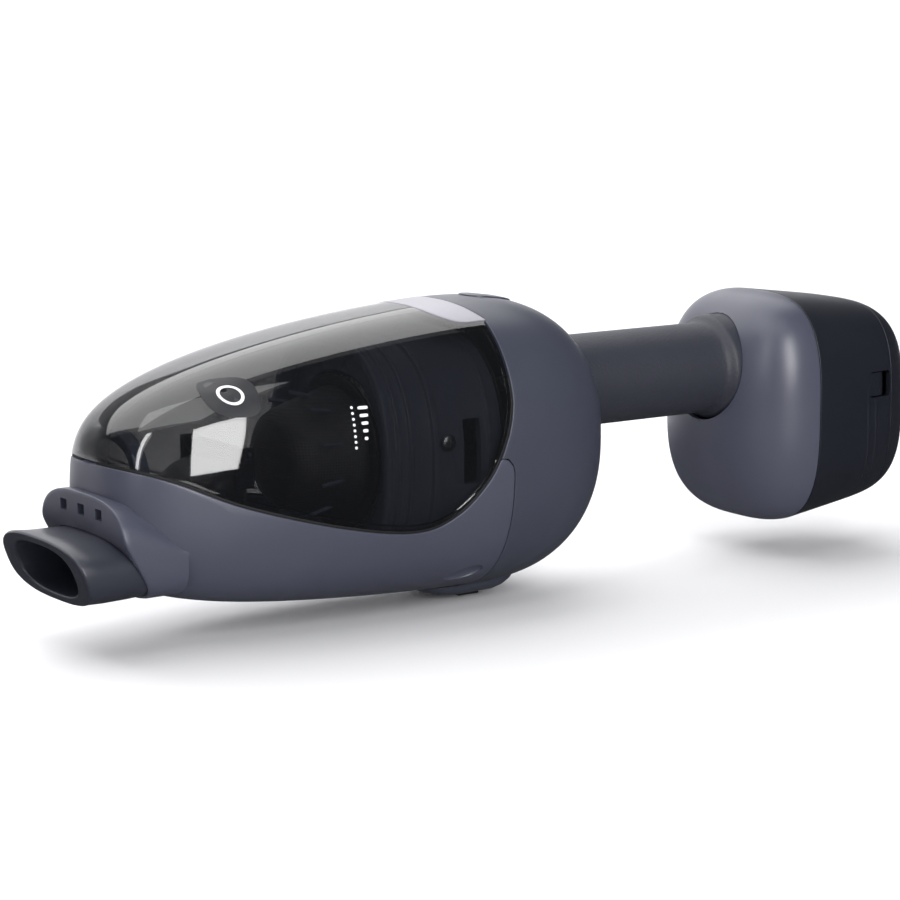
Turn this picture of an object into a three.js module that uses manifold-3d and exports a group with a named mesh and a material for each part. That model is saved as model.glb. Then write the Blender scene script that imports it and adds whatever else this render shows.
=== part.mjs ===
// Cordless handheld vacuum: dust container, motor unit with a round grip, and a battery pod.
//
// Design frame, in millimetres: X runs from the nozzle (-X) to the battery pod (+X), Z is up, and the
// object is symmetric about Y = 0. X = 0 is the plane where the dust container meets the motor unit and
// Z = 0 is the axis of the grip. The last lines move the whole object so that its origin is at the
// bottom centre of its bounding box.

import * as THREE from "three";
import { mergeVertices } from "three/addons/utils/BufferGeometryUtils.js";
import Module from "manifold-3d";

const wasm = await Module();
wasm.setup();

// ---------------------------------------------------------------- driving dimensions

const GAP = 0.3; // clearance between touching pieces
const WALL = 2.4; // moulded wall
const SIDES = 28; // points round a body section

const NOSE_LENGTH = 160; // split plane to the front of the dust container
const MOTOR_LENGTH = 62; // split plane to the back of the motor housing
const BODY_TOP = 39;
const BODY_BOTTOM = -75.5;
const BODY_HALF_WIDTH = 49.5;
const NOSE_TOP = -14; // level of the canopy joint at the nose

const GRIP_RADIUS = 19;
const SLEEVE_WALL = 2.5;
const CORE_WALL = 2.2;
const GRIP_START = 51;
const GRIP_END = 139;

const POD_FRONT = 131;
const POD_SEAM = 162; // pod front housing to battery casing
const CAP_SEAM = 207; // battery casing to rear cover
const POD_END = 227;
const POD_TOP = 31;
const POD_BOTTOM = -67;
const POD_HALF_WIDTH = 42;
const POD_MIDDLE = (POD_TOP + POD_BOTTOM) / 2;

const MOUTH_X = -177.8; // centre of the nozzle's mouth
const MOUTH_Z = -49;
const NOZZLE_BACK = -134; // centre of the nozzle's inner end
const NOZZLE_BACK_Z = -47.6;
const HOOD_X = -163; // face of the collar's hood

const FAN_Z = -18; // axis of motor, fan and filter
const FAN_RADIUS = 31;
const MOTOR_RADIUS = 18;
const FOOT_BOTTOM = -79.2;

// ---------------------------------------------------------------- colours and finishes

const FINISH = {
  casing: { color: 0x4b4f5b, roughness: 0.38, metalness: 0 },
  housing: { color: 0x4a4d5c, roughness: 0.38, metalness: 0 },
  grip: { color: 0x383c47, roughness: 0.6, metalness: 0 },
  podFront: { color: 0x363c46, roughness: 0.4, metalness: 0 },
  podRear: { color: 0x212530, roughness: 0.5, metalness: 0 },
  black: { color: 0x15161a, roughness: 0.45, metalness: 0 },
  smoked: { color: 0x2a2c33, roughness: 0.08, metalness: 0, transparent: true, opacity: 0.4 },
  silver: { color: 0xcecccf, roughness: 0.3, metalness: 0.6 },
  rubber: { color: 0x101012, roughness: 0.8, metalness: 0 },
  steel: { color: 0xb4b6ba, roughness: 0.3, metalness: 1 },
  fabric: { color: 0xdcdcd6, roughness: 0.9, metalness: 0 },
  foam: { color: 0x3a3a3e, roughness: 1, metalness: 0 },
  board: { color: 0x1f5a38, roughness: 0.5, metalness: 0 },
  cell: { color: 0x2f7f9e, roughness: 0.4, metalness: 0 },
  redLead: { color: 0xa02020, roughness: 0.5, metalness: 0 },
  brass: { color: 0xb59b50, roughness: 0.3, metalness: 1 },
};

// ---------------------------------------------------------------- building tools

// A solid for cutting and joining, from any closed geometry.
function solid(geometry) {
  const bare = geometry.clone();
  for (const name of Object.keys(bare.attributes)) {
    if (name !== "position") bare.deleteAttribute(name);
  }
  const merged = mergeVertices(bare, 1e-5);
  const body = new wasm.Manifold(
    new wasm.Mesh({
      numProp: 3,
      vertProperties: new Float32Array(merged.attributes.position.array),
      triVerts: new Uint32Array(merged.index.array),
    }),
  );
  return body;
}

function geometryOf(body) {
  const mesh = body.getMesh();
  const geometry = new THREE.BufferGeometry();
  geometry.setAttribute("position", new THREE.BufferAttribute(new Float32Array(mesh.vertProperties), 3));
  geometry.setIndex(new THREE.BufferAttribute(new Uint32Array(mesh.triVerts), 1));
  geometry.computeVertexNormals();
  return geometry;
}

function join(first, ...others) {
  return others.reduce((body, other) => body.add(other), first);
}

function cut(first, ...others) {
  return others.reduce((body, other) => body.subtract(other), first);
}

// A skin over rings of equal point count. Open skins get a flat cap on the first and last ring, and a
// closed skin joins its last ring to its first, which makes a tube with a wall.
function skin(rings, closed = false) {
  const count = rings[0].length;
  const points = rings.flat();
  const faces = [];
  const spans = closed ? rings.length : rings.length - 1;
  for (let i = 0; i < spans; i++) {
    const a = i * count;
    const b = ((i + 1) % rings.length) * count;
    for (let j = 0; j < count; j++) {
      const k = (j + 1) % count;
      faces.push(a + j, b + j, b + k, a + j, b + k, a + k);
    }
  }
  if (!closed) {
    addCap(points, faces, 0, count, false);
    addCap(points, faces, (rings.length - 1) * count, count, true);
  }
  if (volumeOf(points, faces) < 0) {
    for (let i = 0; i < faces.length; i += 3) {
      [faces[i], faces[i + 1]] = [faces[i + 1], faces[i]];
    }
  }
  const geometry = new THREE.BufferGeometry();
  geometry.setFromPoints(points);
  geometry.setIndex(faces);
  return geometry;
}

function addCap(points, faces, start, count, forward) {
  const middle = new THREE.Vector3();
  for (let j = 0; j < count; j++) middle.addScaledVector(points[start + j], 1 / count);
  const centre = points.push(middle) - 1;
  for (let j = 0; j < count; j++) {
    const a = start + j;
    const b = start + ((j + 1) % count);
    faces.push(...(forward ? [a, centre, b] : [b, centre, a]));
  }
}

function volumeOf(points, faces) {
  let volume = 0;
  for (let i = 0; i < faces.length; i += 3) {
    const [a, b, c] = [points[faces[i]], points[faces[i + 1]], points[faces[i + 2]]];
    volume += a.dot(new THREE.Vector3().crossVectors(b, c)) / 6;
  }
  return volume;
}

// One superellipse ring in a plane of constant X. The upper and lower halves have their own heights.
function sectionRing(x, s, count = SIDES) {
  const ring = [];
  for (let i = 0; i < count; i++) {
    const angle = (2 * Math.PI * i) / count;
    const [c, d] = [Math.cos(angle), Math.sin(angle)];
    const height = d > 0 ? s.top - s.middle : s.middle - s.bottom;
    const y = Math.sign(c) * Math.abs(c) ** (2 / s.power) * s.halfWidth;
    const z = s.middle + Math.sign(d) * Math.abs(d) ** (2 / s.power) * height;
    ring.push(new THREE.Vector3(x, y, z));
  }
  return ring;
}

// One superellipse ring in a plane that leans by (leanX, leanZ) and holds the Y direction.
function leaningRing(x, z, halfWidth, halfHeight, [leanX, leanZ], power, count = 22) {
  const ring = [];
  for (let i = 0; i < count; i++) {
    const angle = (2 * Math.PI * i) / count;
    const [c, d] = [Math.cos(angle), Math.sin(angle)];
    const across = Math.sign(c) * Math.abs(c) ** (2 / power) * halfWidth;
    const along = Math.sign(d) * Math.abs(d) ** (2 / power) * halfHeight;
    ring.push(new THREE.Vector3(x + along * leanX, across, z + along * leanZ));
  }
  return ring;
}

function block(x0, x1, y0, y1, z0, z1) {
  const geometry = new THREE.BoxGeometry(x1 - x0, y1 - y0, z1 - z0);
  return geometry.translate((x0 + x1) / 2, (y0 + y1) / 2, (z0 + z1) / 2);
}

// A turned piece about a line along X, from (x, radius) pairs that start and end on the axis or close.
function turnedX(profile, y, z, segments = 24) {
  const points = profile.map(([x, radius]) => new THREE.Vector2(radius, x));
  const geometry = new THREE.LatheGeometry(points, segments);
  geometry.rotateZ(-Math.PI / 2);
  return fixedWinding(geometry.translate(0, y, z));
}

function rodX(x0, x1, radius, y, z, segments = 24) {
  return turnedX([[x0, 0], [x0, radius], [x1, radius], [x1, 0]], y, z, segments);
}

function tubeX(x0, x1, inner, outer, y, z, segments = 24) {
  return turnedX([[x0, inner], [x0, outer], [x1, outer], [x1, inner], [x0, inner]], y, z, segments);
}

// Merges a geometry to bare shared points and turns its faces outwards.
function fixedWinding(geometry) {
  const bare = geometry.clone();
  for (const name of Object.keys(bare.attributes)) {
    if (name !== "position") bare.deleteAttribute(name);
  }
  const merged = mergeVertices(bare, 1e-4);
  const index = merged.index.array;
  const faces = [];
  for (let i = 0; i < index.length; i += 3) {
    const [a, b, c] = [index[i], index[i + 1], index[i + 2]];
    if (a !== b && b !== c && a !== c) faces.push(a, b, c);
  }
  const position = merged.attributes.position;
  const points = [];
  for (let i = 0; i < position.count; i++) points.push(new THREE.Vector3().fromBufferAttribute(position, i));
  if (volumeOf(points, faces) < 0) {
    for (let i = 0; i < faces.length; i += 3) [faces[i], faces[i + 1]] = [faces[i + 1], faces[i]];
  }
  merged.setIndex(faces);
  return merged;
}

// A prism across the object, from a side outline of (x, z) points.
function sidePrism(outline, y0, y1) {
  const shape = new THREE.Shape(outline.map(([x, z]) => new THREE.Vector2(x, z)));
  const geometry = new THREE.ExtrudeGeometry(shape, { depth: y1 - y0, bevelEnabled: false });
  geometry.rotateX(Math.PI / 2);
  return fixedWinding(geometry.translate(0, y1, 0));
}

// An upright prism, from a plan outline of (x, y) points.
function planPrism(outline, z0, z1) {
  const shape = new THREE.Shape(outline.map(([x, y]) => new THREE.Vector2(x, y)));
  const geometry = new THREE.ExtrudeGeometry(shape, { depth: z1 - z0, bevelEnabled: false });
  return fixedWinding(geometry.translate(0, 0, z0));
}

// A solid tube along a curve.
function lead(points, radius, steps) {
  const path = new THREE.CatmullRomCurve3(points.map((p) => new THREE.Vector3(...p)));
  const section = new THREE.Shape();
  section.absarc(0, 0, radius, 0, 2 * Math.PI);
  const options = { steps, extrudePath: path, bevelEnabled: false, curveSegments: 4 };
  return fixedWinding(new THREE.ExtrudeGeometry(section, options));
}

// ---------------------------------------------------------------- sections of the body and the pod

// A curve that stays near 1 and falls to 0 at u = 1.
function fall(u, inner, outer) {
  return Math.max(0, 1 - u ** inner) ** (1 / outer);
}

function bodySection(x) {
  if (x <= 0) {
    const u = Math.min(-x / NOSE_LENGTH, 1);
    const middle = -21 - 9 * u;
    const belly = BODY_BOTTOM + 11 * u ** 1.5;
    return {
      middle,
      top: NOSE_TOP + (BODY_TOP - NOSE_TOP) * fall(u, 1.4, 2.6),
      bottom: middle - (middle - belly) * fall(u, 6, 4),
      halfWidth: BODY_HALF_WIDTH * fall(u, 2, 3.6),
      power: 2.4 + 0.6 * u,
    };
  }
  const u = Math.min(x / MOTOR_LENGTH, 1);
  const middle = -21 + 4 * u;
  return {
    middle,
    top: middle + (BODY_TOP - middle) * fall(u, 2.7, 2.4),
    bottom: middle - (middle - BODY_BOTTOM) * fall(u, 2.6, 2.2),
    halfWidth: BODY_HALF_WIDTH * fall(u, 2.8, 2.5),
    power: 2.4,
  };
}

function podSection(x) {
  const half = (POD_TOP - POD_BOTTOM) / 2;
  let f = 1;
  if (x <= POD_SEAM) {
    f = fall((POD_SEAM - x) / (POD_SEAM - POD_FRONT), 2.3, 2.3);
  } else {
    const v = (x - POD_SEAM) / (POD_END - POD_SEAM);
    f = (1 - 0.17 * v) * fall(v, 9, 2.6);
  }
  return {
    middle: POD_MIDDLE,
    top: POD_MIDDLE + half * f,
    bottom: POD_MIDDLE - half * f,
    halfWidth: POD_HALF_WIDTH * f,
    power: 3.1,
  };
}

function shrunk(s, by) {
  return {
    middle: s.middle,
    top: Math.max(s.top - by, s.middle + 0.4),
    bottom: Math.min(s.bottom + by, s.middle - 0.4),
    halfWidth: Math.max(s.halfWidth - by, 0.4),
    power: s.power,
  };
}

// Body stations as fractions of the nose length and of the motor length.
const NOSE_STATIONS = [0.995, 0.97, 0.92, 0.84, 0.72, 0.56, 0.38, 0.19, 0];
const MOTOR_STATIONS = [0.35, 0.58, 0.74, 0.86, 0.94, 0.99];
const POD_STATIONS = [0.99, 0.93, 0.8, 0.58, 0.3, 0];
const CAP_STATIONS = [0.69, 0.84, 0.94, 0.99];

// The whole body, shrunk inwards by a wall (0 for the outside).
function bodySolid(by) {
  const noseScale = (NOSE_LENGTH - by) / NOSE_LENGTH;
  const motorScale = (MOTOR_LENGTH - by) / MOTOR_LENGTH;
  const front = NOSE_STATIONS.map((u) => {
    return sectionRing(-u * NOSE_LENGTH * noseScale, shrunk(bodySection(-u * NOSE_LENGTH), by));
  });
  const back = MOTOR_STATIONS.map((u) => {
    return sectionRing(u * MOTOR_LENGTH * motorScale, shrunk(bodySection(u * MOTOR_LENGTH), by));
  });
  return solid(skin([...front, ...back]));
}

function podSolid(by) {
  const front = POD_STATIONS.map((u) => {
    const x = POD_SEAM - u * (POD_SEAM - POD_FRONT);
    const inner = POD_SEAM - u * (POD_SEAM - POD_FRONT - by);
    return sectionRing(inner, shrunk(podSection(x), by));
  });
  const back = CAP_STATIONS.map((v) => {
    const x = POD_SEAM + v * (POD_END - POD_SEAM);
    const inner = POD_SEAM + v * (POD_END - POD_SEAM - by);
    return sectionRing(inner, shrunk(podSection(x), by));
  });
  return solid(skin([...front, ...back]));
}

// ---------------------------------------------------------------- side outlines of the split lines

// Lower edge of the canopy in side view, from the nose to the split plane.
const CANOPY_EDGE = new THREE.SplineCurve(
  [
    [-175, -9.5], [-158, -11], [-141, -16], [-115, -27], [-75, -38.4], [-45, -43], [-28, -38.5],
    [-14, -26.5], [-6.5, -14], [-2.2, -1], [-1.1, 12], [-1.1, 60],
  ].map(([x, z]) => new THREE.Vector2(x, z)),
);
const EDGE_POINTS = 24;

// The canopy edge moved sideways: positive is towards the canopy.
function edgeLine(offset) {
  const line = [];
  for (let i = 0; i <= EDGE_POINTS; i++) {
    const t = i / EDGE_POINTS;
    const p = CANOPY_EDGE.getPoint(t);
    const d = CANOPY_EDGE.getTangent(t);
    line.push([p.x - d.y * offset, p.y + d.x * offset]);
  }
  return line;
}

const EDGE_HALF_GAP = 0.8;
const SEAM_X = -1.6; // casing to motor housing, below the canopy
const SIDE_REACH = 70;

const canopyRegion = solid(sidePrism([...edgeLine(EDGE_HALF_GAP), [-175, 60]], -SIDE_REACH, SIDE_REACH));
const gasketRegion = solid(
  sidePrism([...edgeLine(0.5), ...edgeLine(-0.5).reverse()], -SIDE_REACH, SIDE_REACH),
);
const belowEdge = solid(
  sidePrism([...edgeLine(-EDGE_HALF_GAP), [80, 60], [80, -90], [-175, -90]], -SIDE_REACH, SIDE_REACH),
);

// Seam between the casing and the motor housing: down from the canopy edge, round a small corner.
function seamLine(offset) {
  return [
    [-20, -18 + offset], [-7, -18.2 + offset], [-4.2 + offset, -19.2 + offset],
    [-2.4 + offset, -21.4 + offset], [SEAM_X + offset, -24.5], [SEAM_X + offset, -90],
  ];
}

const casingSide = solid(sidePrism([...seamLine(-GAP / 2), [-175, -90], [-175, 5]], -SIDE_REACH, SIDE_REACH));
const motorSide = solid(
  sidePrism(
    [...seamLine(GAP / 2).reverse(), [-20, 60], [80, 60], [80, -90]].reverse(), -SIDE_REACH, SIDE_REACH,
  ),
);

// ---------------------------------------------------------------- shells

const bodyOuter = bodySolid(0);
const bodyInner = bodySolid(WALL);
const bodyShell = bodyOuter.subtract(bodyInner);

// The release button is a crescent on top: both its edges bow towards the nozzle.
const RELEASE_HALF_WIDTH = 28;
const CRESCENT_STEPS = 18;
function crescent(grow) {
  const front = [];
  const back = [];
  for (let i = 0; i <= CRESCENT_STEPS; i++) {
    const share = -Math.cos((Math.PI * i) / CRESCENT_STEPS);
    const y = share * (RELEASE_HALF_WIDTH + grow);
    front.push([-1.4 - grow - 21.2 * Math.cbrt(Math.max(0, 1 - Math.abs(share) ** 3)), y]);
    back.push([-6.6 + grow + 7 * share ** 2, y]);
  }
  return [...front, ...back.reverse()];
}
const crescentHole = solid(planPrism(crescent(GAP), 20, 60));

// Everything behind the crescent's back edge belongs to the motor housing.
function behindCrescent(offset) {
  const outline = [];
  for (let i = 0; i <= 8; i++) {
    const y = -27 + (54 * i) / 8;
    outline.push([-6.6 + offset + 7 * (y / RELEASE_HALF_WIDTH) ** 2, y]);
  }
  return [...outline, [12, 27], [12, -27]];
}

function makeCanopy() {
  const bridge = solid(planPrism(behindCrescent(-GAP), 20, 60));
  return cut(bodyShell.intersect(canopyRegion), crescentHole, bridge);
}

function makeGasket() {
  const seal = bodySolid(0.5).subtract(bodySolid(WALL - 0.3)).intersect(gasketRegion);
  return cut(seal, crescentHole, solid(planPrism(behindCrescent(-GAP), 20, 60)));
}

const NOZZLE_LEAN = [-0.352, 0.936];

// A stop is the X and Z of a ring's centre, its half width, and its half height along the slant.
const nozzleRings = (stops, grow) => stops.map(([x, z, halfWidth, halfHeight]) => {
  return leaningRing(x, z, halfWidth + grow, halfHeight + grow, NOZZLE_LEAN, 2.75);
});
const NOZZLE_STOPS = [
  [MOUTH_X, MOUTH_Z, 32.1, 13.3], [-160, -48.8, 31.2, 12.9], [-147, -48.4, 30, 12.6],
  [NOZZLE_BACK, NOZZLE_BACK_Z, 27.5, 12],
];
const BORE_STOPS = [[MOUTH_X, MOUTH_Z, 22.6, 10.1], [NOZZLE_BACK, NOZZLE_BACK_Z, 23, 9.2]];

// The raised collar that the nozzle leaves through. Its hood has an upright face with three pockets;
// below that the rim runs back under the nozzle.
function makeCollar() {
  const tube = solid(skin([
    sectionRing(-172, { middle: -42, top: -22, bottom: -62, halfWidth: 32.7, power: 3 }),
    sectionRing(-156, { middle: -42, top: -22.2, bottom: -62, halfWidth: 33, power: 3 }),
    sectionRing(-132, { middle: -48, top: -37, bottom: -61, halfWidth: 34, power: 3 }),
  ]));
  const behindRim = solid(sidePrism([
    [HOOD_X, 0], [HOOD_X, -36], [-145, -66], [-145, -80], [-100, -80], [-100, 0],
  ], -60, 60));
  const pockets = [-13.5, 0, 13.5].map((y) => {
    return solid(block(HOOD_X - 5, HOOD_X + 4, y - 2.5, y + 2.5, -30.6, -26.4));
  });
  return cut(tube.intersect(behindRim), ...pockets);
}

function makeLowerCasing() {
  const half = bodyShell.intersect(belowEdge).intersect(casingSide);
  const hollow = solid(block(NOZZLE_BACK - 7, -60, -50, 50, -80, -10));
  const fairing = makeCollar().subtract(bodyInner.intersect(hollow));
  const ends = [[-200, MOUTH_Z, 32.1, 13.3], ...NOZZLE_STOPS, [-60, NOZZLE_BACK_Z, 27.5, 12]];
  const passage = solid(skin(nozzleRings(ends, GAP)));
  const roof = solid(block(-200, -100, -60, 60, -12.8, 20));
  return cut(half.add(fairing.subtract(roof)), passage);
}

function rodZ(x, y, radius, z0, z1, segments = 16) {
  const geometry = new THREE.CylinderGeometry(radius, radius, z1 - z0, segments);
  geometry.rotateX(Math.PI / 2);
  return geometry.translate(x, y, (z0 + z1) / 2);
}

function rodY(x, z, radius, y0, y1, segments = 16) {
  const geometry = new THREE.CylinderGeometry(radius, radius, y1 - y0, segments);
  return geometry.translate(x, (y0 + y1) / 2, z);
}

// A rounded slot outline in plan, long along X.
function slotOutline(x0, x1, halfWidth, steps = 8) {
  const outline = [];
  for (let i = 0; i <= steps; i++) {
    const a = -Math.PI / 2 + (Math.PI * i) / steps;
    outline.push([x1 - halfWidth + halfWidth * Math.cos(a), halfWidth * Math.sin(a)]);
  }
  for (let i = 0; i <= steps; i++) {
    const a = Math.PI / 2 + (Math.PI * i) / steps;
    outline.push([x0 + halfWidth + halfWidth * Math.cos(a), halfWidth * Math.sin(a)]);
  }
  return outline;
}

const POWER_X0 = 8;
const POWER_X1 = 30;
const POWER_HALF_WIDTH = 7;

function makeMotorHousing() {
  const gripHole = solid(rodX(30, 80, GRIP_RADIUS + GAP, 0, 0));
  const powerHole = solid(
    planPrism(slotOutline(POWER_X0 - GAP, POWER_X1 + GAP, POWER_HALF_WIDTH + GAP), 20, 60),
  );
  const slots = [-29, -35, -41, -47].map((z) => solid(block(40, 80, -15, 15, z - 1.5, z + 1.5)));
  const behind = bodyShell.intersect(solid(block(-0.2, 80, -60, 60, -90, 60)));
  const lip = bodyShell.intersect(belowEdge).intersect(motorSide);
  const bridge = bodyShell.intersect(solid(planPrism(behindCrescent(GAP), 20, 60)));
  return cut(join(behind, lip, bridge), crescentHole, gripHole, powerHole, ...slots);
}

function makeReleaseButton() {
  const cap = bodyShell.intersect(solid(planPrism(crescent(-0.1), 20, 60)));
  const arm = solid(block(-14, 6, -8, 8, 32.4, 34.6));
  const rib = solid(block(-14, -8.4, -8, 8, 32.4, 37.2));
  return join(cap, arm, rib);
}

function makePowerButton() {
  const raised = bodySolid(-0.7).subtract(bodySolid(WALL));
  const cap = raised.intersect(solid(planPrism(slotOutline(POWER_X0, POWER_X1, POWER_HALF_WIDTH), 20, 60)));
  return cap.add(solid(rodZ(19, 0, 2.5, 30.5, 36.5, 12)));
}

// ---------------------------------------------------------------- belly foot

function makeBellyFoot() {
  const outline = [
    [-19, -76], [-12, -78.4], [-4, FOOT_BOTTOM], [13, FOOT_BOTTOM], [22, -76.8], [27, -70],
    [20, -66], [1, -66], [1, -76],
  ];
  const wedge = solid(sidePrism(outline, -17, 17));
  return cut(wedge, bodySolid(-GAP));
}

// ---------------------------------------------------------------- dust container internals

const DRUM = { middle: FAN_Z - 2, top: 28, bottom: -65, halfWidth: 42.5, power: 2.4 };
const DRUM_FRONT = -56;

// The filter drum: a ribbed wall with a window each side and a plate that carries the filters.
function makeFilterDrum() {
  const back = -2;
  const outer = [
    [DRUM_FRONT, 0], [DRUM_FRONT + 3, 0], [DRUM_FRONT + 3.2, 1.4], [-33, 1.4], [-32.6, 0], [back, 0],
  ].map(([x, by]) => sectionRing(x, shrunk(DRUM, by)));
  const inner = [back, DRUM_FRONT].map((x) => sectionRing(x, shrunk(DRUM, 4)));
  const wall = solid(skin([...outer, ...inner], true));
  const plate = solid(skin([-50, -47.5].map((x) => sectionRing(x, shrunk(DRUM, 2)))));
  const windows = solid(block(-20, -12, -60, 60, -28, -3));
  const screwHoles = solid(rodY(-28, -11, 1.6, -60, 60, 12));
  const mouth = solid(rodX(-60, -40, 26, 0, FAN_Z));
  return cut(join(wall, plate), windows, screwHoles, mouth);
}

function makePrefilterCone() {
  const back = -50.3;
  return turnedX(
    [[back, 30.5], [back - 2, 30.5], [back - 2.2, 25.6], [-79, 19], [-82.5, 14], [-82.5, 0], [-81, 0],
      [-81, 13.4], [-78.2, 17.4], [back, 24], [back, 30.5]],
    0, FAN_Z,
  );
}

// Fine filter: a pleated ring on a flange.
function makeFineFilter() {
  const pleats = 24;
  const outline = [];
  for (let i = 0; i < pleats * 2; i++) {
    const a = (Math.PI * i) / pleats;
    const r = i % 2 ? 30 : 25;
    outline.push([r * Math.cos(a), r * Math.sin(a)]);
  }
  const shape = new THREE.Shape(outline.map(([y, z]) => new THREE.Vector2(y, z)));
  const hole = new THREE.Path();
  hole.absarc(0, 0, 19, 0, 2 * Math.PI, true);
  shape.holes.push(hole);
  const geometry = new THREE.ExtrudeGeometry(shape, { depth: 30, bevelEnabled: false, curveSegments: 12 });
  geometry.rotateY(Math.PI / 2);
  return fixedWinding(geometry.translate(-46.5, 0, FAN_Z));
}

const DUCT_MOUTH_X = -105;
const FLAP_X = DUCT_MOUTH_X + 0.5;
const FLAP_PIN_Z = -10.9;

// The duct that lifts the dirt from the nozzle to the flap.
function makeInletDuct() {
  const tilt = Math.atan2(-NOZZLE_LEAN[0], NOZZLE_LEAN[1]);
  const stops = [
    [NOZZLE_BACK + 0.6, NOZZLE_BACK_Z, 23, 9.4, tilt], [-126, -41.8, 21, 10.2, 0.6],
    [-118.5, -33.6, 19.2, 10.8, 0.7], [-112, -27.6, 18.5, 10.2, 0.4], [DUCT_MOUTH_X, -25, 18, 10, 0],
  ];
  const ringsAt = (grow) => stops.map(([x, z, halfWidth, halfHeight, angle]) => {
    return leaningRing(x, z, halfWidth + grow, halfHeight + grow, [-Math.sin(angle), Math.cos(angle)], 3.4);
  });
  const duct = solid(skin([...ringsAt(1.6), ...ringsAt(0).reverse()], true));
  const lugs = [[-21.2, -19], [19, 21.2]].map(([y0, y1]) => {
    return solid(block(DUCT_MOUTH_X - 4, DUCT_MOUTH_X + 4, y0, y1, -24, FLAP_PIN_Z + 2.4));
  });
  return cut(join(duct, ...lugs), solid(rodY(FLAP_X + 1, FLAP_PIN_Z, 1.1, -30, 30, 12)));
}

// The dark arch that stiffens the canopy behind the nose.
function makeNoseArch() {
  const outline = [];
  for (let i = 0; i <= 16; i++) {
    const a = (Math.PI * i) / 16;
    outline.push([17.5 * Math.cos(a), 13.5 * Math.sin(a)]);
  }
  for (let i = 16; i >= 0; i--) {
    const a = (Math.PI * i) / 16;
    outline.push([14.5 * Math.cos(a), 10.5 * Math.sin(a)]);
  }
  const shape = new THREE.Shape(outline.map(([y, z]) => new THREE.Vector2(y, z)));
  const geometry = new THREE.ExtrudeGeometry(shape, { depth: 4, bevelEnabled: false });
  geometry.rotateX(Math.PI / 2);
  geometry.rotateZ(Math.PI / 2);
  return fixedWinding(geometry.translate(-147, 0, -14));
}

function makeInletFlap() {
  const leaf = solid(block(FLAP_X, FLAP_X + 1.4, -18.6, 18.6, -36.4, FLAP_PIN_Z));
  const barrel = solid(rodY(FLAP_X + 1, FLAP_PIN_Z, 2, -18.6, 18.6, 12));
  return cut(join(leaf, barrel), solid(rodY(FLAP_X + 1, FLAP_PIN_Z, 1.1, -30, 30, 12)));
}

// ---------------------------------------------------------------- motor unit internals

const SCREW_PLACES = [[34, -46], [-34, -46], [34, 8], [-34, 8]];

function makeBulkhead() {
  const rings = [3, 5.4].map((x) => sectionRing(x, shrunk(bodySection(x), WALL + 0.9)));
  const holes = [];
  for (let i = 0; i < 6; i++) {
    const a = (Math.PI * i) / 3;
    holes.push(solid(rodX(0, 9, 6, 14 * Math.cos(a), FAN_Z + 14 * Math.sin(a), 12)));
  }
  const armSlot = solid(block(0, 9, -9, 9, 22, 45));
  const springShelf = solid(block(-0.3, 5, -5, 5, 20, 22));
  const screwHoles = SCREW_PLACES.map(([y, z]) => solid(rodX(0, 9, 1.9, y, z, 8)));
  return cut(join(solid(skin(rings)), springShelf), ...holes, armSlot, ...screwHoles);
}

function screwX(x, y, z) {
  return turnedX([[x, 0], [x, 3], [x + 1.6, 3], [x + 1.7, 1.5], [x + 9, 1.5], [x + 9, 0]], y, z, 12);
}

function makeFanShroud() {
  return turnedX(
    [[6.2, 15], [6.2, 36], [22.4, 36], [22.4, 34], [8, 34], [8, 15], [6.2, 15]], 0, FAN_Z, 32,
  );
}

function makeImpeller() {
  const disc = solid(turnedX(
    [[18.6, 2.9], [18.6, FAN_RADIUS], [17.2, FAN_RADIUS], [16.6, 12], [11, 6], [11, 2.9], [18.6, 2.9]], 0, FAN_Z,
  ));
  const blades = [];
  for (let i = 0; i < 7; i++) {
    const blade = block(10.5, 17.4, -0.7, 0.7, 8, FAN_RADIUS - 0.6);
    blade.rotateX((2 * Math.PI * i) / 7);
    blades.push(solid(blade.translate(0, 0, FAN_Z)));
  }
  const bore = solid(rodX(0, 30, 2.9, 0, FAN_Z, 24));
  return cut(join(disc, ...blades), bore);
}

function makeMotorCan() {
  return turnedX(
    [[20.4, 3.2], [20.4, 7], [22.8, 7], [22.8, MOTOR_RADIUS], [42, MOTOR_RADIUS], [42, 7], [44.5, 7], [44.5, 3.2],
      [20.4, 3.2]],
    0, FAN_Z,
  );
}

function makeMotorMount() {
  return tubeX(32, 38, MOTOR_RADIUS + GAP, MOTOR_RADIUS + 5, 0, FAN_Z);
}

// A compression spring about an upright line.
function uprightSpring(x, y, z0, z1, radius, wire, turns) {
  const points = [];
  const stepsPerTurn = 8;
  for (let i = 0; i <= turns * stepsPerTurn; i++) {
    const a = (2 * Math.PI * i) / stepsPerTurn;
    const z = z0 + wire + ((z1 - z0 - 2 * wire) * i) / (turns * stepsPerTurn);
    points.push([x + radius * Math.cos(a), y + radius * Math.sin(a), z]);
  }
  const path = new THREE.CatmullRomCurve3(points.map((p) => new THREE.Vector3(...p)));
  const section = new THREE.Shape();
  section.absarc(0, 0, wire, 0, 2 * Math.PI);
  const options = { steps: turns * stepsPerTurn, extrudePath: path, bevelEnabled: false, curveSegments: 2 };
  return fixedWinding(new THREE.ExtrudeGeometry(section, options));
}

// ---------------------------------------------------------------- grip and pod

// The tube that joins the motor housing to the pod, with a flange inside each of them.
function makeGripCore() {
  const outer = GRIP_RADIUS - SLEEVE_WALL - GAP;
  const inner = outer - CORE_WALL;
  const [front, back] = [GRIP_START - 6, GRIP_END + 9];
  return turnedX([
    [front, inner], [front, outer + 3], [front + 2, outer + 3], [front + 2, outer], [back - 2, outer],
    [back - 2, outer + 6], [back, outer + 6], [back, inner], [front, inner],
  ], 0, 0);
}

const LATCH_X = 199.5;
const LATCH_Z = -8.5;

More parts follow.
